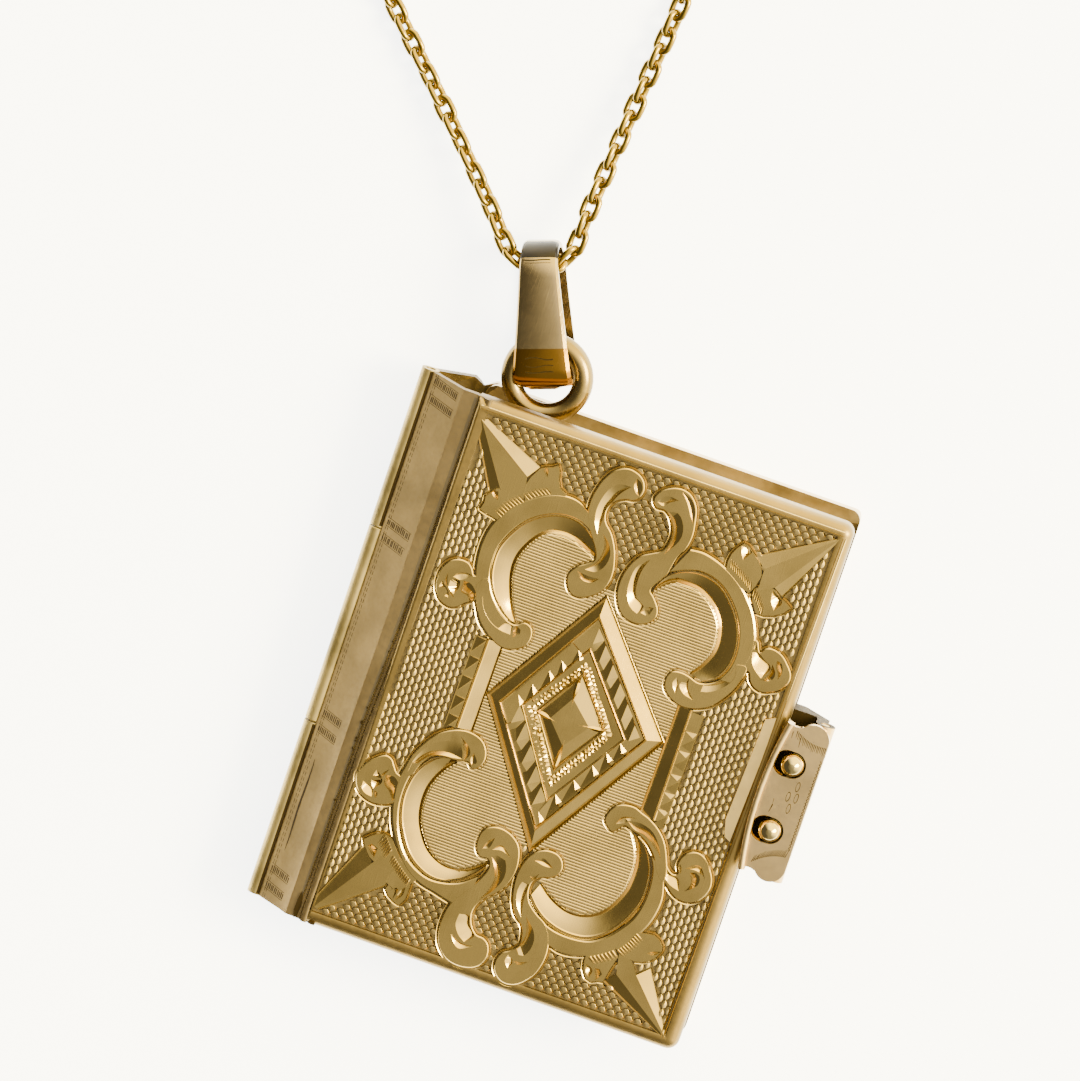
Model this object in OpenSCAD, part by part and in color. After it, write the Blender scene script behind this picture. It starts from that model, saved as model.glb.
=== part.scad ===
// Book-shaped locket with a ring, a strap bail, a fore-edge clasp and a chain.
// The back cover lies on z = 0. +Y runs along the spine towards the ring and
// +X towards the clasp. The origin is the centre of the back board's outer face.

/* [Covers] */
// Length of both covers along the spine
cover_len = 28.2; // [27.6:0.1:29]
// Distance from the spine's joint groove to the fore-edge
board_w = 19.8; // [19.6:0.1:20.2]
// Thickness of the whole closed locket without its relief
book_t = 4.92; // [4.9:0.01:5]
// Height of each cover's edge
cover_edge = 1.07; // [1:0.01:1.12]
// Radius of the covers' rounded outer edge
edge_r = 0.5; // [0.3:0.05:0.6]
// Radius of the covers' corners seen from the front
corner_r = 0.55; // [0.52:0.01:0.7]
// Width of the plain border round the engine-turned ground
border_w = 0.7; // [0.6:0.05:0.8]
// Depth of the ground below the border
ground_depth = 0.1; // [0.05:0.01:0.12]
// Thickness of the front board under the ground
board_t = 0.42; // [0.35:0.01:0.45]
// Set-back of the page block from the covers' edges
page_inset = 0.7; // [0.6:0.05:0.8]
// Thickness of the page block's wall
page_wall = 0.5; // [0.4:0.05:0.6]

/* [Cover hinge] */
// Outer radius of the hinge barrel
barrel_r = 0.45; // [0.44:0.005:0.46]
// Radius of the hinge pin
pin_r = 0.2; // [0.18:0.01:0.22]
// Radial clearance between a pin and its knuckle
pin_play = 0.05; // [0.03:0.01:0.06]
// Gap between neighbouring knuckles
knuckle_gap = 0.08; // [0.05:0.01:0.12]
// Split between the top and the middle knuckle
upper_split = 5.7; // [5:0.1:6.5]
// Split between the middle and the bottom knuckle
lower_split = -4.75; // [-6:0.05:-4]

/* [Relief] */
// Height of the scrolls above the border
relief_h = 0.08; // [0.04:0.01:0.1]
// Depth of the bright-cut grooves below the scroll tops
groove_depth = 0.22; // [0.1:0.01:0.24]
// Outer radius of the four large scrolls
scroll_r = 3.6; // [3.5:0.05:3.7]
// Width of a scroll's flat band
band_w = 0.75; // [0.6:0.05:0.85]

/* [Ring and bail] */
// Mean radius of the soldered ring
ring_r = 1.79; // [1.78:0.01:1.82]
// Radius of the ring's wire
ring_wire_r = 0.51; // [0.48:0.01:0.52]
// Length of the bail
bail_len = 7.1; // [7.05:0.01:7.2]
// Width of the bail at its narrow top
bail_top_w = 1.8; // [1.7:0.05:2]
// Width of the bail at its flared foot
bail_foot_w = 2.9; // [2.8:0.05:3]
// Depth of the bail from its front strap to its back strap
bail_depth = 3.45; // [3.42:0.01:3.48]
// Thickness of the bail's sheet
bail_t = 0.38; // [0.36:0.01:0.4]

/* [Clasp] */
// Half of the clasp plate's length along the fore-edge
plate_half = 3.6; // [3.5:0.05:3.7]
// Thickness of the clasp plate
plate_t = 0.3; // [0.26:0.01:0.32]
// Height of the plate's raised lip
lip_h = 0.42; // [0.3:0.02:0.5]
// Radius of a ball stud
ball_r = 0.6; // [0.55:0.01:0.6]
// Clearance between a ball stud and its slot
slot_play = 0.08; // [0.06:0.01:0.1]
// Outer radius of the clasp's knuckles
clasp_barrel_r = 0.5; // [0.48:0.01:0.5]

/* [Chain] */
// Width of the chain over its links
chain_w = 1; // [0.96:0.01:1]
// Radius of the chain's fastener
fastener_r = 2.3; // [2:0.1:2.6]

/* [Hidden] */
$fn = 64;

x_edge = board_w / 2;
x_joint = -x_edge;
y_edge = cover_len / 2;
z_mid = book_t / 2;
z_under = book_t - cover_edge;

hinge_x = -12.55;
hinge_z = z_mid;

ground_x0 = x_joint + 0.77;
ground_x1 = x_edge - border_w;
ground_y = y_edge - border_w;
ground_z = book_t - ground_depth;
relief_z = book_t + relief_h;
relief_root = 0.15;
scroll_x = 3.7;
scroll_y = 6.8;
inner_z = ground_z - board_t;

page_x0 = -11.7;
page_x1 = x_edge - page_inset;
page_y = y_edge - page_inset;
page_top = z_under - 0.05;
tray_floor = 0.55;

ring_x = -6.97;
ring_y = page_y + ring_r + ring_wire_r - 0.1;
ring_z = z_mid;

// The bail's foot and its direction, turned from +Y towards -X
bail_x = -7;
bail_y = 15.2;
bail_angle = 20;
neck_half = 0.84;
bail_lift = 0.05;
bail_foot_r = 1.15;
bail_top_r = 1.55;

ball_x = 10.75;
ball_ys = [1.85, -1.65];
plate_z = book_t + 0.06;
ball_z = plate_z + 0.17;
ball_post_r = 0.28;
slot_run = 0.3;
clasp_x = 11.65;
clasp_z = plate_z - clasp_barrel_r - 0.06;
clasp_split = 2.6;
bracket_half = 4.15;
lip_arc_r = 19.7;
lip_x = 9.47;
lip_w = 0.34;

// The chain's right half, across and along the bail's direction, and its height
chain_route = [
    [0.04, 6, 1.95],
    [0.9, 6.02, 1.95],
    [1.5, 6.5, 1.95],
    [1.9, 7.3, 1.9],
    [2.5, 8.8, 1.7],
    [3.6, 11.2, 1.3],
    [5, 14.2, 0.85],
    [6.8, 18, 0.58],
    [9.6, 24, 0.53],
    [14.3, 34, 0.53],
    [22, 50.5, 0.53],
    [31, 69.7, 0.53],
    [40.5, 90, 0.53],
    [48.3, 106.5, 0.53],
    [53.2, 119, 0.53],
    [55.1, 133, 0.53],
    [52.8, 149, 0.53],
    [45.1, 165, 0.53],
    [32.4, 178, 0.53],
    [15.5, 186.4, 0.53],
    [2.9, 188.1, 0.53]
];
fastener_s = 190.4;
fastener_wire_r = 0.5;

// A flat rectangle with rounded corners
module rounded_rect(x0, x1, y0, y1, r) {
    translate([x0 + r, y0]) square([x1 - x0 - 2 * r, y1 - y0]);
    translate([x0, y0 + r]) square([x1 - x0, y1 - y0 - 2 * r]);
    for (x = [x0 + r, x1 - r], y = [y0 + r, y1 - r])
        translate([x, y]) circle(r);
}

// A bar along Y whose section is drawn with X across and Z up
module along_y(y0, y1) {
    translate([0, y1, 0]) rotate([90, 0, 0]) linear_extrude(height = y1 - y0) children();
}

// A bar along X whose section is drawn with Y across and Z up
module along_x(x0, x1) {
    translate([x0, 0, 0]) rotate([90, 0, 90]) linear_extrude(height = x1 - x0) children();
}

// A round bar along Y at a given place
module rod_y(x, z, r, y0, y1) {
    translate([x, y1, z]) rotate([90, 0, 0]) cylinder(r = r, h = y1 - y0);
}

// Upside-down copy about the locket's middle plane
module flipped() {
    translate([0, 0, 2 * z_mid]) mirror([0, 0, 1]) children();
}

// A board with a rounded top edge on its three free sides, square at the joint groove
module board() {
    intersection() {
        translate([0, 0, z_under]) linear_extrude(height = cover_edge)
            rounded_rect(x_joint + 0.2, x_edge, -y_edge, y_edge, corner_r);
        along_y(-y_edge, y_edge) {
            translate([x_joint - 1, z_under]) square([board_w + 1 - edge_r, cover_edge]);
            translate([x_joint, z_under]) square([board_w, cover_edge - edge_r]);
            translate([x_edge - edge_r, book_t - edge_r]) circle(edge_r);
        }
        along_x(x_joint - 1, x_edge) {
            translate([-y_edge + edge_r, z_under]) square([cover_len - 2 * edge_r, cover_edge]);
            translate([-y_edge, z_under]) square([cover_len, cover_edge - edge_r]);
            for (side = [-1, 1])
                translate([side * (y_edge - edge_r), book_t - edge_r]) circle(edge_r);
        }
    }
}

// Half of the spine: two flats that rise from the hinge to the joint groove
module spine_section() {
    polygon([
        [-12.05, hinge_z + 0.12],
        [-12.28, hinge_z + 0.55],
        [-11.05, hinge_z + 1.65],
        [-10.4, book_t - 0.28],
        [-10.15, book_t - 0.28],
        [-9.95, book_t - 0.5],
        [-9.75, book_t - 0.5],
        [-9.62, book_t - 0.2],
        [-9.45, book_t - 0.03],
        [-9.2, book_t - 0.03],
        [-9.2, inner_z - 0.02],
        [-10.3, inner_z - 0.25]
    ]);
}

// Web that joins a knuckle to its half of the spine
module knuckle_web() {
    polygon([
        [-12.62, hinge_z + 0.32],
        [-12.5, hinge_z + 0.43],
        [-12.28, hinge_z + 0.55],
        [-12, hinge_z + 0.45],
        [-12.05, hinge_z + 0.12],
        [-12.2, hinge_z + 0.3]
    ]);
}

module spine_half() {
    difference() {
        along_y(-y_edge, y_edge) spine_section();
        for (side = [-1, 1])
            translate([0, 0, z_under - 0.5]) linear_extrude(height = 2)
                polygon([
                    [-10.6, side * (y_edge + 0.1)],
                    [-10.45, side * y_edge],
                    [-9.9, side * (y_edge - 0.3)],
                    [-9.35, side * y_edge],
                    [-9.2, side * (y_edge + 0.1)]
                ]);
    }
}

// One knuckle with its web, bored for the pin
module knuckle(y0, y1) {
    difference() {
        union() {
            rod_y(hinge_x, hinge_z, barrel_r, y0, y1);
            along_y(y0, y1) knuckle_web();
        }
        rod_y(hinge_x, hinge_z, pin_r + pin_play, y0 - 1, y1 + 1);
    }
}

// The relief's quarter near the ring and the fore-edge, seen from the front
module quarter_relief() {
    // Large C-scroll, open towards the diamond
    difference() {
        translate([scroll_x, scroll_y]) circle(scroll_r);
        translate([scroll_x, scroll_y]) circle(scroll_r - band_w - 0.6);
        polygon([
            [scroll_x, scroll_y],
            [scroll_x - 6, scroll_y - 1],
            [scroll_x - 6, scroll_y - 7],
            [scroll_x - 0.8, scroll_y - 7]
        ]);
    }
    // Terminals of the C-scroll
    translate([3.35, 3.85]) circle(0.65);
    translate([1.75, 6.75]) circle(0.75);
    // S-curl towards the top edge
    difference() {
        translate([1.75, 8]) circle(1.45);
        translate([2.05, 8]) circle(0.95);
    }
    difference() {
        translate([1.25, 11.9]) circle(1.1);
        translate([0.9, 11.5]) circle(0.6);
        translate([-0.5, 9.8]) square([1.4, 1.9]);
    }
    polygon([[1.5, 11.2], [2.35, 11.9], [2.1, 10.6], [1.5, 9.3], [1.1, 9.3], [1.6, 10.2]]);
    // Side curl towards the fore-edge
    difference() {
        translate([8.1, 6]) circle(1);
        translate([7.95, 6.1]) circle(0.3);
    }
    polygon([[6.9, 7.4], [7.6, 6.9], [7.6, 5.9], [6.9, 5.2]]);
    // Leaf and dart that point into the corner
    polygon([[9.15, 13.35], [5.8, 11.2], [6.5, 10.3], [7.9, 9]]);
    translate([5.45, 10.5]) circle(0.85);
    translate([7.45, 8.85]) circle(0.8);
}

// The grooves that run along the inside of a quarter's C-scroll
module quarter_groove() {
    difference() {
        translate([scroll_x, scroll_y]) circle(scroll_r - band_w);
        translate([scroll_x - 0.32, scroll_y - 0.25]) circle(scroll_r - band_w - 0.45);
        polygon([
            [scroll_x + 0.2, scroll_y],
            [scroll_x - 6, scroll_y + 0.6],
            [scroll_x - 6, scroll_y - 7],
            [scroll_x - 0.2, scroll_y - 7]
        ]);
    }
}

module diamond(half_w, half_h) {
    polygon([[half_w, 0], [0, half_h], [-half_w, 0], [0, -half_h]]);
}

module mirrored_quarters() {
    for (sx = [0, 1], sy = [0, 1])
        mirror([sx, 0]) mirror([0, sy]) children();
}

module relief() {
    difference() {
        translate([0, 0, ground_z - relief_root]) linear_extrude(height = relief_z - ground_z + relief_root)
            mirrored_quarters() quarter_relief();
        translate([0, 0, relief_z - groove_depth]) linear_extrude(height = 1)
            mirrored_quarters() quarter_groove();
    }
    translate([0, 0, ground_z - relief_root]) linear_extrude(height = relief_root + ground_depth)
        difference() {
            diamond(4.5, 6.8);
            diamond(3.7, 5.6);
        }
    translate([0, 0, ground_z - relief_root]) linear_extrude(height = relief_root + ground_depth)
        difference() {
            diamond(2.55, 3.85);
            diamond(1.65, 2.5);
        }
    translate([0, 0, ground_z - relief_root]) linear_extrude(height = relief_root + ground_depth)
        diamond(1.1, 1.7);
    for (x = [-5.05, 4.75])
        translate([x - 0.35, -2.6, ground_z - relief_root])
            cube([0.7, 5.2, relief_root + ground_depth]);
}

module front_leaf() {
    color([0.66, 0.54, 0.33])
    difference() {
        union() {
            difference() {
                board();
                translate([ground_x0, -ground_y, ground_z])
                    cube([ground_x1 - ground_x0, 2 * ground_y, 1]);
            }
            relief();
            spine_half();
            knuckle(lower_split + knuckle_gap / 2, upper_split - knuckle_gap / 2);
        }
        translate([x_joint + 0.9, -page_y + 0.1, z_under - 1])
            cube([page_x1 - x_joint - 1, 2 * page_y - 0.2, inner_z - z_under + 1]);
    }
}

// Page block: a wall round three sides, its ends cut down under the spine
module page_block() {
    difference() {
        along_y(-page_y, page_y)
            polygon([
                [page_x0, 1.7],
                [-10.4, 0.62],
                [page_x1, 0.62],
                [page_x1, page_top],
                [-10.2, page_top],
                [page_x0, z_mid]
            ]);
        translate([x_joint + 0.6, -page_y + page_wall, tray_floor])
            cube([page_x1 - x_joint - 0.6 - page_wall, 2 * (page_y - page_wall), 6]);
        translate([page_x0 - 1, -page_y + page_wall, z_mid - 0.5])
            cube([4, 2 * (page_y - page_wall), 6]);
    }
}

// Bracket at the fore-edge that carries the clasp's hinge and the two ball studs
module clasp_bracket() {
    along_y(-bracket_half, bracket_half)
        polygon([
            [page_x1 - 0.3, 2.1],
            [page_x1 + 1.2, 2.1],
            [clasp_x + 0.1, 3.3],
            [clasp_x + 0.1, clasp_z - clasp_barrel_r - 0.08],
            [clasp_x - 0.5, clasp_z - clasp_barrel_r - 0.08],
            [ball_x + 0.3, 3.4],
            [page_x1 - 0.3, 3.4]
        ]);
    for (side = [-1, 1]) {
        y0 = side > 0 ? clasp_split + knuckle_gap / 2 : -bracket_half;
        y1 = side > 0 ? bracket_half : -clasp_split - knuckle_gap / 2;
        difference() {
            union() {
                rod_y(clasp_x, clasp_z, clasp_barrel_r, y0, y1);
                along_y(y0, y1)
                    polygon([
                        [clasp_x - clasp_barrel_r, clasp_z],
                        [clasp_x - clasp_barrel_r, clasp_z - clasp_barrel_r - 0.2],
                        [clasp_x + 0.1, clasp_z - clasp_barrel_r - 0.2],
                        [clasp_x + 0.1, clasp_z - 0.3],
                        [clasp_x - 0.3, clasp_z]
                    ]);
            }
            rod_y(clasp_x, clasp_z, pin_r + pin_play, y0 - 1, y1 + 1);
        }
    }
    for (y = ball_ys) {
        translate([ball_x, y, 3.2]) cylinder(r = ball_post_r, h = ball_z - 3.2);
        translate([ball_x, y, ball_z]) sphere(ball_r);
    }
}

module top_ring() {
    translate([ring_x, ring_y, ring_z]) rotate_extrude() translate([ring_r, 0]) circle(ring_wire_r);
}

module back_leaf() {
    color([0.62, 0.5, 0.3]) {
        flipped() {
            difference() {
                union() {
                    board();
                    spine_half();
                }
                translate([x_joint + 0.6, -page_y + page_wall, z_under - 1])
                    cube([page_x1 - x_joint - 0.6 - page_wall, 2 * (page_y - page_wall),
                        2 * z_mid - tray_floor - z_under + 1]);
            }
            knuckle(upper_split + knuckle_gap / 2, y_edge);
            knuckle(-y_edge, lower_split - knuckle_gap / 2);
        }
        page_block();
        clasp_bracket();
        top_ring();
    }
}

module hinge_pin() {
    color([0.55, 0.45, 0.28]) rod_y(hinge_x, hinge_z, pin_r, -y_edge + 0.05, y_edge - 0.05);
}

// One scalloped end of the clasp plate
module scallop() {
    difference() {
        union() {
            translate([clasp_x - 0.32, plate_half - 0.25]) circle(0.8);
            polygon([
                [9.9, plate_half - 0.4],
                [9.87, plate_half + 0.37],
                [10.1, plate_half + 0.25],
                [11, plate_half + 0.2],
                [11, plate_half - 0.4]
            ]);
        }
        translate([10.35, plate_half + 0.75]) circle(0.6);
    }
}

module plate_outline() {
    intersection() {
        translate([lip_x + lip_arc_r, 0]) circle(lip_arc_r);
        union() {
            translate([lip_x, -plate_half + 0.2])
                square([clasp_x + 0.48 - lip_x, 2 * (plate_half - 0.2)]);
            scallop();
            mirror([0, 1]) scallop();
        }
    }
}

// A slot: the ball's own width, lengthened towards the lip
module ball_slot(y) {
    slot_r = ball_r + slot_play;
    translate([ball_x, y]) circle(slot_r);
    translate([ball_x - slot_run, y]) circle(slot_r);
    translate([ball_x - slot_run, y - slot_r]) square([slot_run, 2 * slot_r]);
}

module clasp_plate() {
    lip_sweep = 11.5;
    color([0.68, 0.56, 0.36])
    difference() {
        union() {
            translate([0, 0, plate_z]) linear_extrude(height = plate_t) plate_outline();
            translate([lip_x + lip_arc_r, 0, plate_z]) rotate([0, 0, 180 - lip_sweep])
                rotate_extrude(angle = 2 * lip_sweep) {
                    translate([lip_arc_r - lip_w, 0]) square([lip_w, plate_t + lip_h - lip_w / 2]);
                    translate([lip_arc_r - lip_w / 2, plate_t + lip_h - lip_w / 2])
                        circle(lip_w / 2);
                }
            rod_y(clasp_x, clasp_z, clasp_barrel_r, -clasp_split, clasp_split);
            along_y(-clasp_split, clasp_split)
                translate([clasp_x, clasp_z]) square([0.48, plate_z + 0.1 - clasp_z]);
        }
        rod_y(clasp_x, clasp_z, pin_r + pin_play, -clasp_split - 1, clasp_split + 1);
        for (y = ball_ys)
            translate([0, 0, plate_z - 1]) linear_extrude(height = plate_t + 1.1) ball_slot(y);
    }
}

module clasp_pin() {
    color([0.55, 0.45, 0.28])
        rod_y(clasp_x, clasp_z, pin_r, -bracket_half + 0.03, bracket_half - 0.03);
}

// The bail seen from its side, with its length across and Z up
module bail_side(inset, foot_r, top_r) {
    z0 = bail_lift + inset;
    z1 = bail_lift + bail_depth - inset;
    s0 = inset;
    s1 = bail_len - inset;
    translate([s0 + foot_r, z0]) square([s1 - s0 - foot_r - top_r, z1 - z0]);
    translate([s0, z0 + foot_r]) square([foot_r, z1 - z0 - 2 * foot_r]);
    translate([s1 - top_r, z0 + top_r]) square([top_r, z1 - z0 - 2 * top_r]);
    for (z = [z0 + foot_r, z1 - foot_r])
        translate([s0 + foot_r, z]) circle(foot_r);
    for (z = [z0 + top_r, z1 - top_r])
        translate([s1 - top_r, z]) circle(top_r);
}

// The bail's outline from the front: widening to a flared foot, narrow where it goes through the ring
module bail_front(narrow) {
    foot = narrow ? neck_half : bail_foot_w / 2;
    polygon([
        [-bail_top_w / 2, bail_len + 0.1],
        [-foot, narrow ? 2.9 : 0.35],
        [-foot, -0.1],
        [foot, -0.1],
        [foot, narrow ? 2.9 : 0.35],
        [bail_top_w / 2, bail_len + 0.1]
    ]);
}

module bail() {
    color([0.6, 0.5, 0.36])
    translate([bail_x, bail_y, 0]) rotate([0, 0, bail_angle])
    intersection() {
        difference() {
            along_x(-2, 2) bail_side(0, bail_foot_r, bail_top_r);
            along_x(-3, 3) bail_side(bail_t, bail_foot_r - bail_t, bail_top_r - bail_t);
        }
        union() {
            translate([0, 0, ring_z + ring_wire_r + 0.06]) linear_extrude(height = 2)
                bail_front(false);
            translate([0, 0, -1]) linear_extrude(height = ring_z - ring_wire_r + 0.94)
                bail_front(false);
            linear_extrude(height = 5) bail_front(true);
        }
    }
}

// Place of a route point given across and along the bail's direction
function on_floor(p, side) = [
    bail_x + side * p[0] * cos(bail_angle) - p[1] * sin(bail_angle),
    bail_y + side * p[0] * sin(bail_angle) + p[1] * cos(bail_angle),
    p[2]
];

// The route with one smooth point between each two of its own
function between(a, b, c, d) = (9 * (b + c) - a - d) / 16;
function smooth_route(p) = [
    for (i = [0:len(p) - 1], half = [0, 1])
        if (half == 0 || i < len(p) - 1)
            half == 0 ? p[i]
                : between(p[max(i - 1, 0)], p[i], p[i + 1], p[min(i + 2, len(p) - 1)])
];

function unit(v) = v / norm(v);
function tangent(p, i) = unit(p[min(i + 1, len(p) - 1)] - p[max(i - 1, 0)]);

// A tube of eight sides swept along a route
module swept_tube(p, r) {
    sides = 8;
    rings = len(p);
    points = [
        for (i = [0:rings - 1])
            let (t = tangent(p, i), across = unit(cross([0, 0, 1], t)), up = cross(t, across))
                for (k = [0:sides - 1])
                    let (a = 360 * (k + 0.5) / sides)
                        p[i] + r * (across * cos(a) + up * sin(a))
    ];
    walls = [
        for (i = [0:rings - 2], k = [0:sides - 1])
            [i * sides + k, i * sides + (k + 1) % sides,
                (i + 1) * sides + (k + 1) % sides, (i + 1) * sides + k]
    ];
    first = [for (k = [sides - 1:-1:0]) k];
    last = [for (k = [0:sides - 1]) (rings - 1) * sides + k];
    polyhedron(points, concat(walls, [first], [last]), convexity = 8);
}

module chain_half(side) {
    color([0.85, 0.67, 0.3])
        swept_tube([for (p = smooth_route(chain_route)) on_floor(p, side)], chain_w / 2);
}

module chain_left() {
    chain_half(-1);
}

module chain_right() {
    chain_half(1);
}

// Plain ring with a loop at each side that takes the chain's end links
module chain_clasp() {
    loop_r = 0.9;
    loop_x = 1.55;
    loop_wire_r = 0.3;
    color([0.85, 0.67, 0.3])
    translate([bail_x, bail_y, 0]) rotate([0, 0, bail_angle])
    translate([0, fastener_s, fastener_wire_r + 0.03]) {
        rotate_extrude() translate([fastener_r, 0]) circle(fastener_wire_r);
        for (side = [-1, 1])
            translate([side * loop_x, -fastener_r - 0.35, 0])
                rotate_extrude() translate([loop_r, 0]) circle(loop_wire_r);
    }
}

back_leaf();
front_leaf();
hinge_pin();
clasp_plate();
clasp_pin();
bail();
chain_left();
chain_right();
chain_clasp();
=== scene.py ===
import math

import bpy
import numpy as np
from mathutils import Matrix, Vector
from mathutils.geometry import delaunay_2d_cdt


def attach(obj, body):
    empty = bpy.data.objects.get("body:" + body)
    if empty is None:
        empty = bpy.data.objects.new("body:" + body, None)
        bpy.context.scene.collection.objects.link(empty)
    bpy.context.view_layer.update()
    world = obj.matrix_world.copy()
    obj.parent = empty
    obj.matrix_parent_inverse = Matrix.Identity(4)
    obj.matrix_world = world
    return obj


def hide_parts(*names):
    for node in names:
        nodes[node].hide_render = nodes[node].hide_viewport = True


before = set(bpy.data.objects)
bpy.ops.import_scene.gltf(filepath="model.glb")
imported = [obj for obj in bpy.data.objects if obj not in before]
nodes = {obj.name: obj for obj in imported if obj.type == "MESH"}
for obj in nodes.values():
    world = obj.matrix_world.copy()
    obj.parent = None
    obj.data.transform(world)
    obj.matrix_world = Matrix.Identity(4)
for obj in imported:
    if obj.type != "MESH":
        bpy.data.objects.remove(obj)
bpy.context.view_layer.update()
MM = 0.001
TURN = 2 * math.pi
rng = np.random.default_rng(7)

# Heights over the floor
BASE = 4.70
GROUND = 4.885
TOP = 5.0
RIM = 4.92

# A raised edge: width of its bevel, drop of its shoulder
BEVEL = 0.09
SHOULDER = 0.045


# Colours and metals

def feed(tree, node, values):
    """Fills a node's inputs with plain values or with links from other nodes."""
    for key, value in values.items():
        if isinstance(value, bpy.types.NodeSocket):
            tree.links.new(value, node.inputs[key])
        else:
            node.inputs[key].default_value = value


def add(tree, kind, values=None, **settings):
    node = tree.nodes.new(kind)
    for key, value in settings.items():
        setattr(node, key, value)
    feed(tree, node, values or {})
    return node


def maths(tree, operation, first, second, clamp=False):
    node = add(tree, "ShaderNodeMath", {0: first, 1: second}, operation=operation, use_clamp=clamp)
    return node.outputs[0]


def ramp(tree, source, low, high, falling=False):
    """Black below low and white above high, or the other way round."""
    node = add(tree, "ShaderNodeValToRGB", {0: source})
    for stop, place, level in zip(node.color_ramp.elements, (low, high), (falling, not falling)):
        stop.position = place
        stop.color = (level, level, level, 1)
    return node.outputs[0]


def gold(name, colour, dark, rough, recess=0.12, shade_and_dirt=0.6, scratch=0.07, mottle=0.2):
    """Worn gold: mottled, scratched, and darkened in its recesses, where ambient occlusion paints in shade
    along with tarnish.
    """
    material = bpy.data.materials.new(name)
    material.use_nodes = True
    tree = material.node_tree
    place = add(tree, "ShaderNodeNewGeometry").outputs["Position"]
    cloud = add(tree, "ShaderNodeTexNoise", {"Vector": place, "Scale": 420.0, "Detail": 6.0})
    speck = add(tree, "ShaderNodeTexNoise", {"Vector": place, "Scale": 5200.0, "Detail": 4.0})
    tone = add(tree, "ShaderNodeMix", {
        "Factor": ramp(tree, cloud.outputs["Fac"], 0.42, 0.68),
        "A": (*colour, 1),
        "B": (*[c * (1 - mottle) for c in colour], 1)}, data_type="RGBA")
    # Painted shade: ambient occlusion darkens the recesses towards the dark colour and makes them less
    # metallic, part tarnish and part shade
    cavity = add(tree, "ShaderNodeAmbientOcclusion", {"Distance": recess * MM}, samples=6)
    grime_and_shade = maths(tree, "MULTIPLY", ramp(tree, cavity.outputs["AO"], 0.2, 0.85, falling=True), shade_and_dirt)
    tarnished_and_shaded = add(tree, "ShaderNodeMix", {"Factor": grime_and_shade, "A": tone.outputs["Result"], "B": (*dark, 1)},
               data_type="RGBA")
    gloss = add(tree, "ShaderNodeMapRange", {
        "Value": speck.outputs["Fac"], "To Min": rough * 0.75, "To Max": rough * 1.35})
    # Fine scratches that run every way
    height = 0.0
    for angle, stretch in ((0.5, 9), (2.1, 14), (1.2, 11)):
        mapping = add(tree, "ShaderNodeMapping", {
            "Vector": place, "Rotation": (0, 0, angle), "Scale": (1400 * stretch, 600, 600)})
        grain = add(tree, "ShaderNodeTexNoise", {"Vector": mapping.outputs[0], "Scale": 1.0, "Detail": 2.0})
        height = maths(tree, "ADD", height, ramp(tree, grain.outputs["Fac"], 0.62, 0.70))
    bump = add(tree, "ShaderNodeBump", {"Height": height, "Strength": scratch, "Distance": 0.01 * MM})
    feed(tree, tree.nodes["Principled BSDF"], {
        "Base Color": tarnished_and_shaded.outputs["Result"],
        "Metallic": maths(tree, "SUBTRACT", 1.0, grime_and_shade, clamp=True),
        "Roughness": gloss.outputs[0],
        "Specular IOR Level": 0.25,
        "Normal": bump.outputs[0]})
    return material


# Colours that the recesses are darkened to: part tarnish and dust, part painted shade
BROWN = (0.09, 0.066, 0.032)
DUST_AND_SHADE = (0.06, 0.045, 0.03)
NEAR_BLACK = (0.01, 0.006, 0.003)
LOCKET = gold("locket_gold", (0.50, 0.335, 0.088), BROWN, 0.16, shade_and_dirt=0.7)
GROUND_GOLD = gold("ground_gold", (0.62, 0.43, 0.135), BROWN, 0.17, recess=0.1)
FIELD_GOLD = gold("field_gold", (0.50, 0.345, 0.115), BROWN, 0.28, recess=0.06, shade_and_dirt=0.35)
# Grey for the strip along the spine's groove: painted shade
GREY_GOLD = gold("grey_gold", (0.13, 0.105, 0.07), BROWN, 0.5)
# The spine's golds: painted shade darkens the faces that slope away from the light, and the flat faces by the
# cover take a lighter copy
SPINE_FLAT = gold("spine_flat", (0.21, 0.15, 0.072), DUST_AND_SHADE, 0.42, mottle=0.3)
SPINE_GOLD = gold("spine_gold", (0.175, 0.118, 0.042), DUST_AND_SHADE, 0.5, mottle=0.3)
# The rim is a darker copy of the gold: painted shade that holds down the bright reflection on its rounded
# edge
RIM_GOLD = gold("rim_gold", (0.23, 0.155, 0.05), BROWN, 0.36, shade_and_dirt=0.7)
# The filed strip's light gold is part bare filed metal, part painted highlight
STRIP_GOLD = gold("strip_gold", (0.95, 0.66, 0.22), BROWN, 0.3, shade_and_dirt=0.5)
CLASP_GOLD = gold("clasp_gold", (0.56, 0.395, 0.175), (0.09, 0.06, 0.03), 0.3)
BALL_GOLD = gold("ball_gold", (0.48, 0.36, 0.13), BROWN, 0.1, shade_and_dirt=0.5)
KNUCKLE_GOLD = gold("knuckle_gold", (0.46, 0.35, 0.14), BROWN, 0.46, mottle=0.5)
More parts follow.
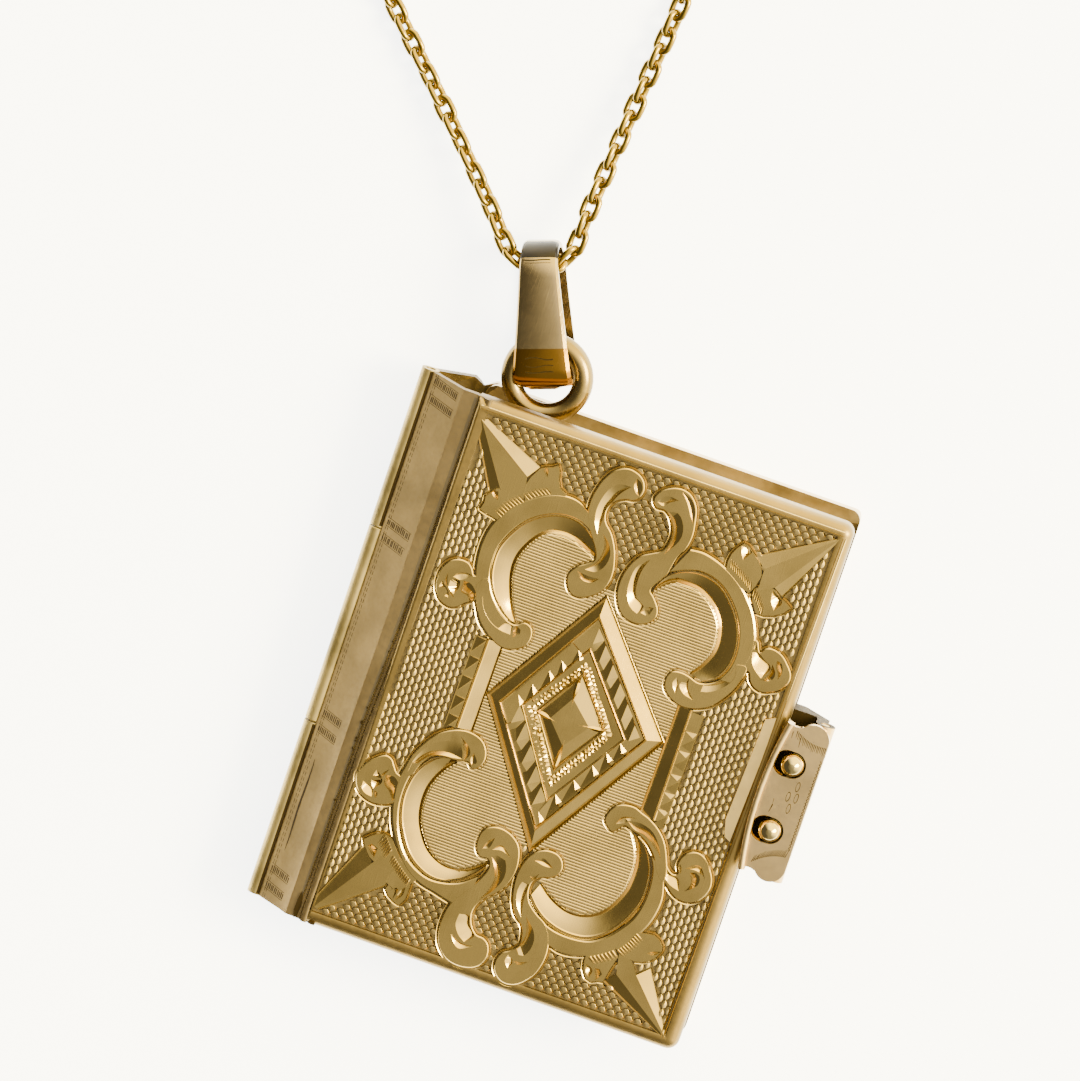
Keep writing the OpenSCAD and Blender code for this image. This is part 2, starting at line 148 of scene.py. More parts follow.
# Brown page walls, also darkened strongly by ambient occlusion where the front cover overhangs them: painted
# shade
SIDE_GOLD = gold("side_gold", (0.36, 0.26, 0.11), (0.07, 0.045, 0.02), 0.36, recess=0.7, shade_and_dirt=0.95,
                 mottle=0.55)
PAGE_GOLD = gold("page_gold", (0.15, 0.10, 0.035), (0.02, 0.014, 0.006), 0.42, recess=1.6, shade_and_dirt=0.95,
                 mottle=0.85)
BAIL_GOLD = gold("bail_gold", (0.33, 0.235, 0.10), BROWN, 0.2, scratch=0.16)
BAIL_TOP = gold("bail_top", (0.02, 0.017, 0.014), (0.01, 0.008, 0.006), 0.36)
BAIL_AMBER = gold("bail_amber", (0.23, 0.115, 0.015), (0.05, 0.02, 0.002), 0.14)
RING_GOLD = gold("ring_gold", (0.20, 0.14, 0.048), BROWN, 0.24)
CHAIN_GOLD = gold("chain_gold", (0.25, 0.165, 0.02), (0.10, 0.06, 0.01), 0.16, recess=0.2, shade_and_dirt=0.5,
                  mottle=0.1)
LIP_GOLD = gold("lip_gold", (0.58, 0.41, 0.14), BROWN, 0.18, shade_and_dirt=0.25)
# Darker gold for upright faces and for the bed under the ground: painted shade on walls and in gaps
SHADED_WALL = gold("shaded_wall_gold", (0.20, 0.145, 0.06), BROWN, 0.42, shade_and_dirt=0.8)
# Dark strips in the engraved lines: grime and painted shade
GRIME_AND_SHADE = gold("grime_and_shade", (0.13, 0.095, 0.045), (0.03, 0.02, 0.01), 0.5, shade_and_dirt=0.8)
# Near-black for marks, cracks and pits, and for painted shade beside the knuckles and on the clasp bracket;
# SHADE is painted shade beside the hatch strokes
DARK = gold("dark_marks_and_shade", (0.03, 0.02, 0.008), NEAR_BLACK, 0.6)
SHADE = gold("shade_split", (0.075, 0.052, 0.022), NEAR_BLACK, 0.6)


# Shapes from arrays

def quads(rows, count, ring=False, loop=False):
    """Faces between rows of points. A ring closes each row, a loop joins the last row to the first."""
    faces = []
    for row in range(rows if loop else rows - 1):
        ahead = (row + 1) % rows
        for k in range(count if ring else count - 1):
            nxt = (k + 1) % count
            faces.append((row * count + k, row * count + nxt, ahead * count + nxt, ahead * count + k))
    return faces


class Shape:
    """Vertices and faces, collected piece by piece."""

    def __init__(self):
        self.points = []
        self.faces = []

    def add(self, points, faces):
        first = len(self.points)
        self.points.extend([tuple(map(float, p)) for p in points])
        self.faces.extend([tuple(i + first for i in face) for face in faces])

    def strips(self, rails, closed=False):
        """Quads between neighbouring rails, turned to face upwards."""
        points = np.vstack(rails)
        faces = quads(len(rails), len(rails[0]), ring=closed)
        upward = 0.0
        for face in faces:
            a, b, c, d = (points[i] for i in face)
            upward += np.cross(c - a, d - b)[2]
        self.add(points, faces if upward >= 0 else [face[::-1] for face in faces])

    def wrap(self, rails, loop=False):
        """Quads round closed rails, turned outwards."""
        faces = quads(len(rails), len(rails[0]), ring=True, loop=loop)
        self.add(np.vstack(rails), [(a, d, c, b) for a, b, c, d in faces])

    def piece(self, name, material, body="front", slot="locket_gold", smooth=28, steep=None):
        """A mesh object; steep is the material of its upright faces, which callers give the darker gold of
        painted shade.
        """
        mesh = bpy.data.meshes.new(name)
        mesh.from_pydata([(x * MM, y * MM, z * MM) for x, y, z in self.points], [], self.faces)
        mesh.materials.append(material)
        if steep:
            mesh.materials.append(steep)
            for face in mesh.polygons:
                if abs(face.normal.z) < 0.5:
                    face.material_index = 1
        mesh.shade_smooth()
        mesh.set_sharp_from_angle(angle=math.radians(smooth))
        obj = bpy.data.objects.new(name, mesh)
        bpy.context.scene.collection.objects.link(obj)
        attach(obj, body)
        return obj


# The cover's grid: about twentieths of a millimetre, across from the spine and down from the ring's end
GRID_STEP = 0.05
U_STEP, V_STEP = 0.0494, 0.05095
U_MIDDLE, V_MIDDLE = 257, -288.25
U_LEAN, V_LEAN, LEAN_FROM = 0.019, 0.006, 228


def at(points):
    """Places on the cover for grid places, given as pairs or as one flat list."""
    u, v = np.asarray(points, float).reshape(-1, 2).T
    x = (u + U_LEAN * v - U_MIDDLE) * U_STEP
    y = (v - V_LEAN * (u - LEAN_FROM) - V_MIDDLE) * V_STEP
    return np.stack([x, y], 1)


def lengths(line):
    return np.linalg.norm(np.diff(line, axis=0), axis=1)


def spaced(line, count):
    """A polyline's points at even distances."""
    run = np.r_[0, np.cumsum(lengths(line))]
    k = np.linspace(0, run[-1], count)
    return np.stack([np.interp(k, run, line[:, i]) for i in range(line.shape[1])], 1)


def curved(p, count):
    """A smooth curve through points."""
    p = np.vstack([2 * p[0] - p[1], p, 2 * p[-1] - p[-2]])
    t = np.linspace(0, 1, 12, endpoint=False)[:, None]
    parts = []
    for i in range(1, len(p) - 2):
        a, b, c, d = p[i - 1:i + 3]
        parts.append(0.5 * (2 * b + (c - a) * t + (2 * a - 5 * b + 4 * c - d) * t ** 2
                            + (3 * b - a - 3 * c + d) * t ** 3))
    return spaced(np.vstack(parts + [p[-2][None]]), count)


def smooth(points, count=48):
    return curved(at(points), count)


def ring_of(points, step=0.09):
    """A closed smooth outline through grid points."""
    p = at(points)
    line = curved(np.vstack([p[-2:], p, p[:2]]), 40 * (len(p) + 4))
    far = np.linalg.norm(line - p[0], axis=1)
    half = len(line) // 2
    part = line[np.argmin(far[:half]):half + np.argmin(far[half:])]
    return spaced(part, max(12, int(lengths(part).sum() / step)))[:-1]


def area(p):
    q = np.roll(p, -1, axis=0)
    return 0.5 * float((p[:, 0] * q[:, 1] - p[:, 1] * q[:, 0]).sum())


def unit(ways):
    return ways / (np.linalg.norm(ways, axis=-1, keepdims=True) + 1e-9)


def left_of(way):
    """The direction a quarter turn to the left."""
    return np.stack([-way[..., 1], way[..., 0]], -1)


def inset(p, by):
    """A closed outline moved inwards."""
    ahead = unit(np.roll(p, -1, axis=0) - p)
    behind = unit(p - np.roll(p, 1, axis=0))
    return p + left_of(unit(ahead + behind)) * (by if area(p) > 0 else -by)


def inside(points, outline):
    """Which points lie in a closed outline."""
    x, y = points.T
    hit = np.zeros(len(points), bool)
    for (x0, y0), (x1, y1) in zip(outline, np.roll(outline, -1, axis=0)):
        if y0 != y1:
            hit ^= ((y0 > y) != (y1 > y)) & (x < (x1 - x0) * (y - y0) / (y1 - y0) + x0)
    return hit


def flat(p, z):
    return np.c_[p, np.full(len(p), z)]


# Outlines of all raised shapes, which the ground and the lips use later
covered = []
CUT_STEPS = 13
CUT_FADE = 0.35
CUT_DEEPEST = 0.26


def pad(shape, outline, top, cuts=(), bevel=0.05):
    """A raised flat shape with V-cuts.

    A cut is its left edge, the middle points of its right edge, the place of its deep line
    between them and its depth. Both edges share their end points.
    """
    covered.append(outline)
    rim = inset(outline, bevel)
    points = [tuple(p) for p in rim]
    heights = [top] * len(rim)
    edges = [(i, (i + 1) % len(rim)) for i in range(len(rim))]
    share = np.linspace(0, 1, CUT_STEPS)
    fade = np.sin(np.clip(np.minimum(share, share[::-1]) / CUT_FADE, 0, 1) * TURN / 4)
    for left, right, side, deep in cuts:
        a = smooth(left, CUT_STEPS)
        b = smooth((*left[:2], *right, *left[-2:]), CUT_STEPS)
        loop = np.vstack([a, b[-2:0:-1]])
        valley = a + (b - a) * side
        first = len(points)
        start = first + len(loop)
        points += [tuple(p) for p in np.vstack([loop, valley[1:-1]])]
        heights += [top] * len(loop)
        heights += [top - min(1.25 * deep, CUT_DEEPEST) * f for f in fade[1:-1]]
        edges += [(first + i, first + (i + 1) % len(loop)) for i in range(len(loop))]
        chain = [first, *range(start, start + CUT_STEPS - 2), first + CUT_STEPS - 1]
        edges += list(zip(chain[:-1], chain[1:]))
    made = delaunay_2d_cdt([Vector(p) for p in points], edges, [], 0, 1e-5)
    xy = np.array([tuple(v) for v in made[0]])
    z = np.array([heights[o[0]] if o else top for o in made[3]])
    triangles = [tuple(t) for t in made[2]]
    keep = inside(np.array([xy[list(t)].mean(axis=0) for t in triangles]), rim)
    shape.add(np.c_[xy, z], [t for t, k in zip(triangles, keep) if k])
    shape.strips([flat(rim, top), flat(outline, top - SHOULDER), flat(outline, BASE)], closed=True)


def between_lines(shape, a, b, rails, caps):
    """Strips over the space between two lines, with an end wall at each place in caps."""
    covered.append(np.vstack([a, b[::-1]]))
    shape.strips(rails)
    for end in caps:
        shape.add([r[end] for r in rails], [tuple(range(len(rails)))])


def band(shape, outer, inner, top, count=64):
    """A raised flat band between two smooth lines."""
    a = smooth(outer, count)
    b = smooth(inner, count)
    step = (b - a) * np.minimum(0.45, BEVEL / (np.linalg.norm(b - a, axis=1)[:, None] + 1e-6))
    between_lines(shape, a, b, [
        flat(a, BASE), flat(a, top - SHOULDER), flat(a + step, top),
        flat(b - step, top), flat(b, top - SHOULDER), flat(b, BASE)], (0, -1))


# Section of a bright cut: place from outer to inner wall, height at its ends, height at its middle
CRESCENT = [(0, BASE, BASE), (-0.04, 4.99, 4.99), (0.03, 4.91, 4.89), (0.085, 4.99, 4.98),
            (0.14, 4.955, 4.935), (0.35, 4.94, 4.885), (0.6, 4.92, 4.81),
            (0.86, 4.90, 4.725), (1.0, 4.90, 4.86), (1.03, 4.88, 4.84), (1.03, BASE, BASE)]
FADE_SHARE = 0.14
LINE_AT, LINE_Z, LINE_HALF = 0.03, 4.918, 0.025
scrolls = Shape()
engraved = Shape()


def crescent(shape, outer, inner, ends, count=72):
    """A bright cut: a wide facet that sinks towards its steep inner wall; ends say which end fades."""
    a = smooth(outer, count)
    b = smooth(inner, count)
    t = np.linspace(0, 1, count)
    fade = np.ones(count)
    for tapered, far in zip(ends, (t, 1 - t)):
        if tapered:
            fade = np.minimum(fade, far / FADE_SHARE)
    fade = np.sin(fade * TURN / 4)
    half = np.minimum(0.3, LINE_HALF / (np.linalg.norm(b - a, axis=1)[:, None] + 1e-6))
    line_z = LINE_Z + 0.03 * (1 - fade)
    # A dark strip lies in the engraved line at the cut's outer edge: grime and painted shade
    engraved.strips([np.c_[a + (b - a) * (LINE_AT + way * half), line_z] for way in (-1, 1)])
    rails = [np.c_[a + (b - a) * f, z0 + (z1 - z0) * fade] for f, z0, z1 in CRESCENT]
    between_lines(shape, a, b, rails, [end for end, tapered in zip((0, -1), ends) if not tapered])


def ridge(shape, line, width, low, high):
    """A fine raised line."""
    side = left_of(unit(np.gradient(line, axis=0))) * width / 2
    shape.strips([flat(line - side, low), flat(line, high), flat(line + side, low)])


def spike(shape, line, wide, half, low, crest, rise):
    """A raised stroke whose half width and height follow the shares in wide."""
    side = left_of(unit(line[-1] - line[0])) * half * wide[:, None]
    shape.strips([flat(line - side, low), np.c_[line, crest + rise * wide], flat(line + side, low)])


def facets(shape, corners, faces):
    """Plane facets between corners given on the grid with a height."""
    c = np.asarray(corners, float)
    points = np.c_[at(c[:, :2]), c[:, 2]]
    turned = []
    for face in faces:
        a, b, d = (points[i] for i in face[:3])
        turned.append(face if np.cross(b - a, d - a)[2] > 0 else face[::-1])
    shape.add(points, turned)


# Large scrolls: lines of the band (outer, inner) and of its bright cut (outer, inner), which ends fade
scroll_lines = [
    ((150, -234, 136, -222, 127, -206, 120, -190, 114, -170, 112, -150, 114, -132, 121, -115, 131, -101,
      144, -90, 158, -81, 174, -76, 190, -77, 206, -86),
     (163, -211, 151, -203, 139, -190, 131, -174, 129, -158, 130, -144, 136, -128, 147, -112, 162, -101,
      177, -95, 193, -94, 206, -98, 216, -105, 224, -113),
     (171, -212, 163, -210, 152, -203, 140, -191, 132, -176, 129, -160, 130, -145, 137, -128, 148, -112,
      162, -101, 177, -95, 193, -94, 207, -99, 218, -109, 226, -127),
     (171, -212, 163, -199, 156, -182, 151, -165, 151, -150, 155, -138, 162, -126, 172, -117, 185, -114,
      198, -115, 211, -119, 219, -122, 226, -127),
     (True, True)),
    ((311, -84, 325, -83, 342, -87, 358, -94, 373, -104, 386, -117, 395, -130, 402, -146, 404, -160,
      402, -178, 398, -195),
     (298, -113, 312, -106, 325, -102, 340, -103, 354, -109, 367, -120, 378, -134, 385, -150, 388, -166,
      387, -182, 381, -196),
     (288, -138, 293, -124, 300, -114, 311, -107, 325, -103, 340, -104, 354, -110, 367, -121, 378, -135,
      385, -150, 388, -167, 386, -183, 379, -196, 368, -204),
     (288, -138, 297, -128, 307, -121, 318, -119, 331, -120, 344, -126, 354, -134, 362, -145, 366, -160,
      366, -173, 362, -184, 357, -193, 351, -201),
     (True, False)),
    ((116, -378, 113, -396, 114, -412, 118, -430, 125, -447, 137, -465, 151, -480, 168, -489, 186, -493,
      204, -497, 220, -498),
     (128, -376, 124, -392, 123, -408, 125, -426, 132, -446, 144, -464, 158, -475, 175, -481, 192, -480,
      208, -474, 222, -463),
     (160, -360, 150, -361, 141, -365, 134, -373, 127, -386, 124, -400, 124, -415, 128, -432, 136, -448,
      147, -463, 160, -473, 176, -479, 192, -478, 206, -471, 217, -461, 225, -450, 230, -441),
     (164, -362, 156, -371, 149, -384, 145, -398, 145, -414, 149, -430, 157, -444, 167, -455, 180, -462,
      194, -464, 207, -460, 218, -452, 225, -446, 230, -441),
     (False, True)),
    ((312, -504, 325, -507, 340, -505, 355, -499, 370, -490, 385, -475, 396, -459, 402, -443, 404, -425,
      401, -410, 396, -397),
     (296, -483, 312, -488, 330, -489, 348, -486, 362, -477, 374, -463, 383, -448, 387, -430, 387, -412,
      384, -396, 378, -384),
     (278, -463, 288, -473, 300, -481, 316, -486, 332, -487, 347, -484, 361, -475, 372, -462, 380, -447,
      385, -430, 385, -412, 382, -397, 375, -384, 366, -375, 352, -368),
     (284, -448, 295, -456, 307, -462, 319, -465, 332, -464, 344, -459, 354, -450, 361, -438, 366, -424,
      367, -409, 366, -396, 362, -384, 358, -377, 352, -368),
     (False, True)),
]
for band_outer, band_inner, cut_outer, cut_inner, fading in scroll_lines:
    band(scrolls, band_outer, band_inner, TOP - 0.004)
    crescent(scrolls, cut_outer, cut_inner, fading)

# Curls: outline, height above the bands, cuts
LEAF = -0.02
curls = [
    # S-curl, upper left
    ((204, -148, 208, -161, 218, -167, 232, -162, 243, -150, 246, -133, 241, -113, 232, -97,
      222, -87, 219, -76, 223, -66, 232, -60, 241, -58, 246, -52, 247, -44, 243, -36, 235, -31,
      224, -30, 213, -36, 206, -46, 202, -58, 200, -72, 202, -86, 208, -98, 215, -108, 222, -118,
      224, -126, 218, -132, 210, -138), 0.0, [
        ((234, -46, 222, -47, 214, -55, 210, -67, 209, -80, 212, -92, 218, -101),
         (227, -54, 222, -64, 219, -77, 218, -90), 0.84, 0.16),
        ((223, -99, 228, -108, 229, -118, 226, -128, 218, -138),
         (231, -105, 237, -116, 236, -128, 229, -137), 0.18, 0.15),
        ((211, -142, 220, -149, 229, -148, 235, -142), (220, -143, 228, -143), 0.3, 0.08),
        ((236, -36, 236, -44, 240, -50, 244, -52), (242, -39, 245, -45), 0.3, 0.08)]),
    # S-curl, upper right
    ((259, -50, 262, -41, 271, -34, 282, -31, 293, -34, 302, -44, 306, -58, 308, -72, 306, -86,
      301, -96, 299, -106, 297, -116, 290, -128, 287, -136, 293, -142, 300, -151, 301, -160,
      295, -168, 284, -172, 271, -170, 262, -162, 256, -149, 255, -134, 259, -118, 266, -107,
      275, -101, 283, -96, 287, -88, 287, -75, 281, -63, 273, -57, 264, -57), 0.0, [
        ((276, -57, 283, -67, 288, -80, 287, -98), (287, -55, 296, -66, 297, -80), 0.2, 0.15),
        ((263, -51, 266, -46, 273, -42, 283, -43), (270, -53, 276, -47), 0.7, 0.08),
        ((276, -107, 266, -118, 264, -133, 266, -147, 273, -158, 282, -162),
         (272, -120, 272, -135, 276, -147, 286, -153), 0.84, 0.16),
        ((285, -160, 288, -153, 296, -151), (293, -160), 0.3, 0.06),
        ((284, -34, 295, -38, 302, -48, 304, -60), (292, -43, 298, -52), 0.7, 0.06)]),
    # Lower terminal, upper left scroll
    ((121, -188, 125, -202, 131, -213, 141, -225, 153, -234, 166, -239, 178, -237, 188, -230,
      191, -220, 188, -211, 180, -208, 172, -213, 163, -212, 151, -205, 139, -192, 130, -178), 0.004, [
        ((131, -197, 136, -208, 146, -218, 158, -223, 170, -224),
         (140, -206, 150, -211, 161, -214, 169, -213), 0.84, 0.15),
        ((172, -213, 172, -219, 173, -226), (180, -218), 0.25, 0.09)]),
    # Lower terminal, upper right scroll
    ((404, -176, 401, -196, 393, -212, 382, -225, 368, -232, 355, -234, 342, -230, 333, -222,
      331, -211, 335, -204, 343, -202, 352, -203, 364, -206, 378, -200, 388, -188, 392, -176), 0.004, [
        ((393, -178, 388, -191, 378, -200, 366, -204, 357, -204),
         (395, -191, 386, -204, 374, -212, 362, -213), 0.25, 0.13),
        ((353, -205, 346, -213, 352, -221, 364, -224), (355, -214), 0.8, 0.1),
        ((341, -208, 339, -215, 345, -224), (345, -215), 0.8, 0.07)]),
    # Upper terminal, lower left scroll
    ((116, -390, 118, -372, 125, -356, 135, -342, 148, -333, 162, -329, 176, -331, 185, -338,
      189, -349, 186, -359, 179, -363, 174, -358, 168, -359, 158, -361, 148, -361, 138, -365,
      130, -376, 125, -390), 0.004, [
        ((120, -388, 122, -372, 130, -357, 142, -347, 154, -343, 163, -346, 167, -357),
         (128, -374, 137, -364, 147, -360, 157, -359), 0.8, 0.14),
        ((158, -336, 164, -345, 169, -358), (169, -343, 173, -350), 0.25, 0.12),
        ((176, -347, 175, -354, 178, -360), (182, -355), 0.3, 0.06)]),
    # Upper terminal, lower right scroll
    ((327, -372, 322, -366, 323, -357, 328, -349, 336, -345, 346, -344, 355, -347, 364, -350,
      376, -357, 386, -367, 393, -380, 399, -396, 398, -406, 388, -398, 381, -385, 371, -375,
      360, -369, 350, -367, 343, -365, 338, -370, 333, -375), 0.004, [
        ((334, -366, 337, -358, 344, -355, 351, -354), (342, -362), 0.3, 0.07),
        ((344, -359, 357, -357, 371, -361, 381, -371, 388, -384),
         (353, -365, 366, -367, 378, -375), 0.75, 0.12)]),
    # Side curls
    ((116, -181, 112, -175, 107, -171, 100, -170, 93, -172, 87, -177, 83, -185, 82, -193,
      83, -202, 86, -209, 91, -215, 97, -218, 104, -219, 111, -216, 117, -210, 123, -206,
      128, -200, 126, -188, 120, -180), -0.006, [
        ((97, -189, 100, -184, 107, -181, 115, -181), (103, -190, 109, -187), 0.12, 0.12),
        ((99, -189, 94, -196, 97, -202, 103, -205), (105, -191, 106, -198), 0.88, 0.17),
        ((88, -196, 87, -203, 92, -209, 99, -210), (93, -200, 98, -205), 0.85, 0.13),
        ((91, -187, 90, -195, 95, -204, 106, -209), (93, -195, 98, -202), 0.15, 0.06),
        ((108, -189, 109, -200, 117, -202, 121, -210), (117, -190, 125, -199), 0.1, 0.2)]),
    ((400, -148, 405, -148, 409, -156, 411, -157, 413, -153, 418, -150, 425, -150, 433, -153,
      440, -159, 446, -166, 448, -173, 446, -180, 441, -187, 434, -191, 426, -194, 418, -193,
      411, -188, 407, -180, 401, -176, 396, -160), -0.006, [
        ((403, -150, 404, -162, 409, -173, 420, -181), (413, -160, 426, -168), 0.85, 0.2),
        ((429, -159, 430, -165, 434, -171, 436, -177), (435, -161, 438, -169), 0.12, 0.14),
        ((426, -164, 426, -173, 423, -180, 419, -183), (432, -172, 430, -180), 0.12, 0.15)]),
    ((110, -392, 105, -386, 101, -381, 95, -379, 90, -381, 85, -385, 79, -391, 75, -398,
      72, -406, 74, -414, 79, -422, 87, -427, 97, -429, 105, -428, 113, -425, 120, -418,
      122, -405, 117, -395), -0.006, [
        ((97, -404, 96, -398, 102, -391), (99, -398), 0.2, 0.08),
        ((90, -396, 88, -404, 90, -411, 93, -415), (97, -401, 99, -407), 0.88, 0.17),
        ((81, -411, 82, -418, 87, -422, 94, -423), (89, -413, 94, -417), 0.85, 0.13),
        ((95, -416, 95, -420, 98, -423), (99, -418), 0.15, 0.08),
        ((100, -398, 102, -407, 109, -412, 115, -421), (110, -397, 119, -408), 0.1, 0.21)]),
    ((390, -378, 397, -389, 404, -394, 409, -392, 406, -384, 407, -376, 411, -370, 418, -366,
      425, -366, 432, -370, 438, -377, 443, -385, 445, -394, 443, -403, 438, -411, 430, -416,
      420, -417, 411, -414, 402, -407, 394, -400, 388, -388), -0.006, [
        ((393, -388, 397, -398, 405, -405, 416, -408), (402, -394, 412, -397), 0.85, 0.17),
        ((414, -385, 421, -379, 429, -378, 437, -389), (422, -383, 430, -384), 0.35, 0.12),
        ((420, -387, 424, -394, 424, -401, 421, -407), (429, -385, 432, -396), 0.12, 0.17),
        ((408, -382, 408, -388, 412, -391), (411, -386), 0.7, 0.08)]),
    # S-curl, lower left
    ((226, -443, 217, -443, 211, -437, 209, -427, 211, -417, 218, -411, 228, -409, 240, -412,
      250, -420, 255, -433, 256, -447, 252, -461, 245, -472, 236, -481, 230, -491, 229, -501,
      233, -511, 240, -518, 248, -519, 255, -524, 258, -535, 254, -546, 245, -552, 232, -554,
      219, -551, 208, -541, 203, -528, 202, -514, 204, -500, 210, -487, 219, -474, 226, -461,
      229, -451), 0.0, [
        ((228, -439, 234, -448, 238, -458, 237, -469, 231, -484),
         (238, -434, 245, -443, 247, -455, 242, -469), 0.2, 0.15),
        ((226, -432, 234, -425, 247, -434), (236, -430), 0.35, 0.07),
        ((217, -434, 219, -426, 225, -420), (223, -431), 0.3, 0.06),
        ((217, -504, 217, -515, 223, -524, 231, -529), (227, -502, 230, -511, 239, -519), 0.82, 0.13),
        ((216, -526, 221, -533, 229, -537, 241, -530), (228, -531), 0.7, 0.08)]),
    # S-curl, lower right
    ((291, -439, 297, -434, 299, -426, 295, -418, 287, -414, 276, -415, 267, -421, 261, -431,
      258, -445, 259, -460, 263, -475, 270, -487, 279, -494, 283, -503, 284, -513, 278, -521,
      270, -527, 267, -537, 270, -547, 279, -554, 290, -554, 300, -548, 309, -536, 313, -522,
      313, -508, 309, -494, 301, -484, 290, -478, 280, -470, 275, -460, 275, -450, 281, -443), 0.0, [
        ((279, -439, 269, -446, 264, -459, 267, -474, 277, -487),
         (276, -449, 273, -461, 274, -474), 0.84, 0.14),
        ((270, -428, 278, -423, 290, -429), (281, -430), 0.6, 0.07),
        ((281, -484, 286, -497, 286, -510, 277, -521), (293, -495, 297, -508, 292, -522), 0.2, 0.14),
        ((277, -526, 276, -533, 281, -539), (284, -531), 0.75, 0.08),
        ((283, -531, 291, -532, 299, -526), (291, -529), 0.3, 0.05)]),
    # Leaves between the scrolls and the darts
    ((134, -86, 134, -78, 136, -70, 142, -59, 147, -56, 153, -54, 158, -50, 162, -56, 164, -64,
      168, -71, 176, -75, 170, -90, 150, -100, 140, -97), LEAF, [
        ((144, -56, 147, -61, 152, -65), (150, -57), 0.3, 0.1)]),
    ((104, -97, 100, -103, 101, -109, 99, -117, 106, -119, 113, -120, 122, -122, 138, -104,
      136, -95, 131, -91, 125, -88, 119, -87, 113, -89, 108, -92), LEAF, [
        ((104, -96, 107, -100, 113, -103), (110, -93), 0.3, 0.08)]),
    ((349, -83, 350, -75, 353, -68, 358, -61, 364, -62, 372, -68, 378, -72, 383, -78, 386, -86,
      384, -97, 380, -106, 364, -102, 350, -92), LEAF, [
        ((357, -64, 359, -70, 363, -77), (369, -65), 0.9, 0.17)]),
    ((384, -99, 390, -94, 397, -93, 404, -94, 411, -100, 417, -102, 424, -106, 419, -113,
      410, -119, 401, -122, 392, -122, 384, -110), LEAF, [
        ((401, -95, 403, -105, 409, -114), (414, -103), 0.85, 0.18)]),
    ((104, -472, 101, -466, 106, -461, 111, -457, 118, -454, 128, -456, 146, -476, 134, -485,
      126, -485, 118, -484, 112, -481), LEAF, [
        ((107, -471, 112, -476, 117, -480), (117, -463), 0.1, 0.15)]),
    ((133, -478, 132, -486, 132, -493, 135, -499, 140, -501, 138, -505, 143, -511, 150, -515,
      157, -517, 161, -509, 161, -500, 161, -492, 168, -484, 150, -474, 138, -470), LEAF, [
        ((142, -507, 147, -503, 149, -513), (151, -499), 0.15, 0.13),
        ((151, -514, 153, -503, 157, -497), (157, -506), 0.8, 0.1)]),
    ((390, -461, 400, -459, 408, -458, 415, -461, 420, -466, 421, -471, 418, -478, 413, -484,
      406, -488, 398, -490, 388, -489, 376, -484, 380, -466), LEAF, [
        ((407, -478, 413, -474, 421, -471), (415, -477), 0.6, 0.07)]),
    ((350, -498, 351, -507, 353, -515, 358, -522, 364, -524, 370, -521, 376, -520, 378, -508,
      382, -491, 374, -482, 360, -490), LEAF, [
        ((354, -508, 356, -515, 361, -521), (362, -512), 0.75, 0.13),
        ((363, -509, 366, -516, 368, -521), (373, -510), 0.15, 0.13)]),
]
for number, (outline, lift, cuts) in enumerate(curls):
    if lift == LEAF:
        # Every other leaf lies a hair lower, so that the tops of neighbours never coincide
        height = TOP - 0.014 - 0.003 * (number % 2)
        pad(scrolls, spaced(at(outline + outline[:2]), 90)[:-1], height, cuts, bevel=0.022)
    else:
        pad(scrolls, ring_of(outline), TOP + lift, cuts)

# Short hatch strokes on the leaves, across each scroll's edge: line, number, length and lean; a dark strip
# beside each stroke is painted shadow
hatches = [
    ((122, -117, 128, -106, 138, -96), 9, 9, (-0.85, 0.45)),
    ((142, -92, 150, -85, 160, -80), 7, 8, (-0.8, 0.5)),
    ((354, -88, 366, -94, 379, -102), 12, 9, (-0.25, 1)),
    ((384, -107, 391, -113, 397, -121), 7, 10, (-0.05, 1)),
    ((121, -455, 126, -460, 131, -466), 6, 13, (-0.35, -1)),
    ((136, -472, 146, -480, 158, -488), 11, 9, (-0.15, -1)),
    ((391, -463, 386, -474, 379, -484), 9, 9, (1, -0.5)),
    ((374, -487, 365, -494, 355, -500), 7, 9, (0.9, -0.6)),
]
STROKE_TOP = TOP + 0.002
STROKE_HALF = 0.07
hatch_shadows = Shape()
wide = np.array([1, 0.9, 0.7, 0.4, 0.02])
for line, count, length, lean in hatches:
    way = unit(np.array(lean, float))
    side = left_of(way) * STROKE_HALF
    for start in smooth(line, count):
        stroke = np.linspace(start, start + way * length * GRID_STEP, 5)
        spike(scrolls, stroke, wide, STROKE_HALF, STROKE_TOP - 0.03, STROKE_TOP, 0.03)
        shade_rails = [stroke - side * (1.1 + 0.6 * turn * wide[:, None]) for turn in (-1, 1)]
        hatch_shadows.strips([flat(rail, STROKE_TOP + 0.004) for rail in shade_rails])

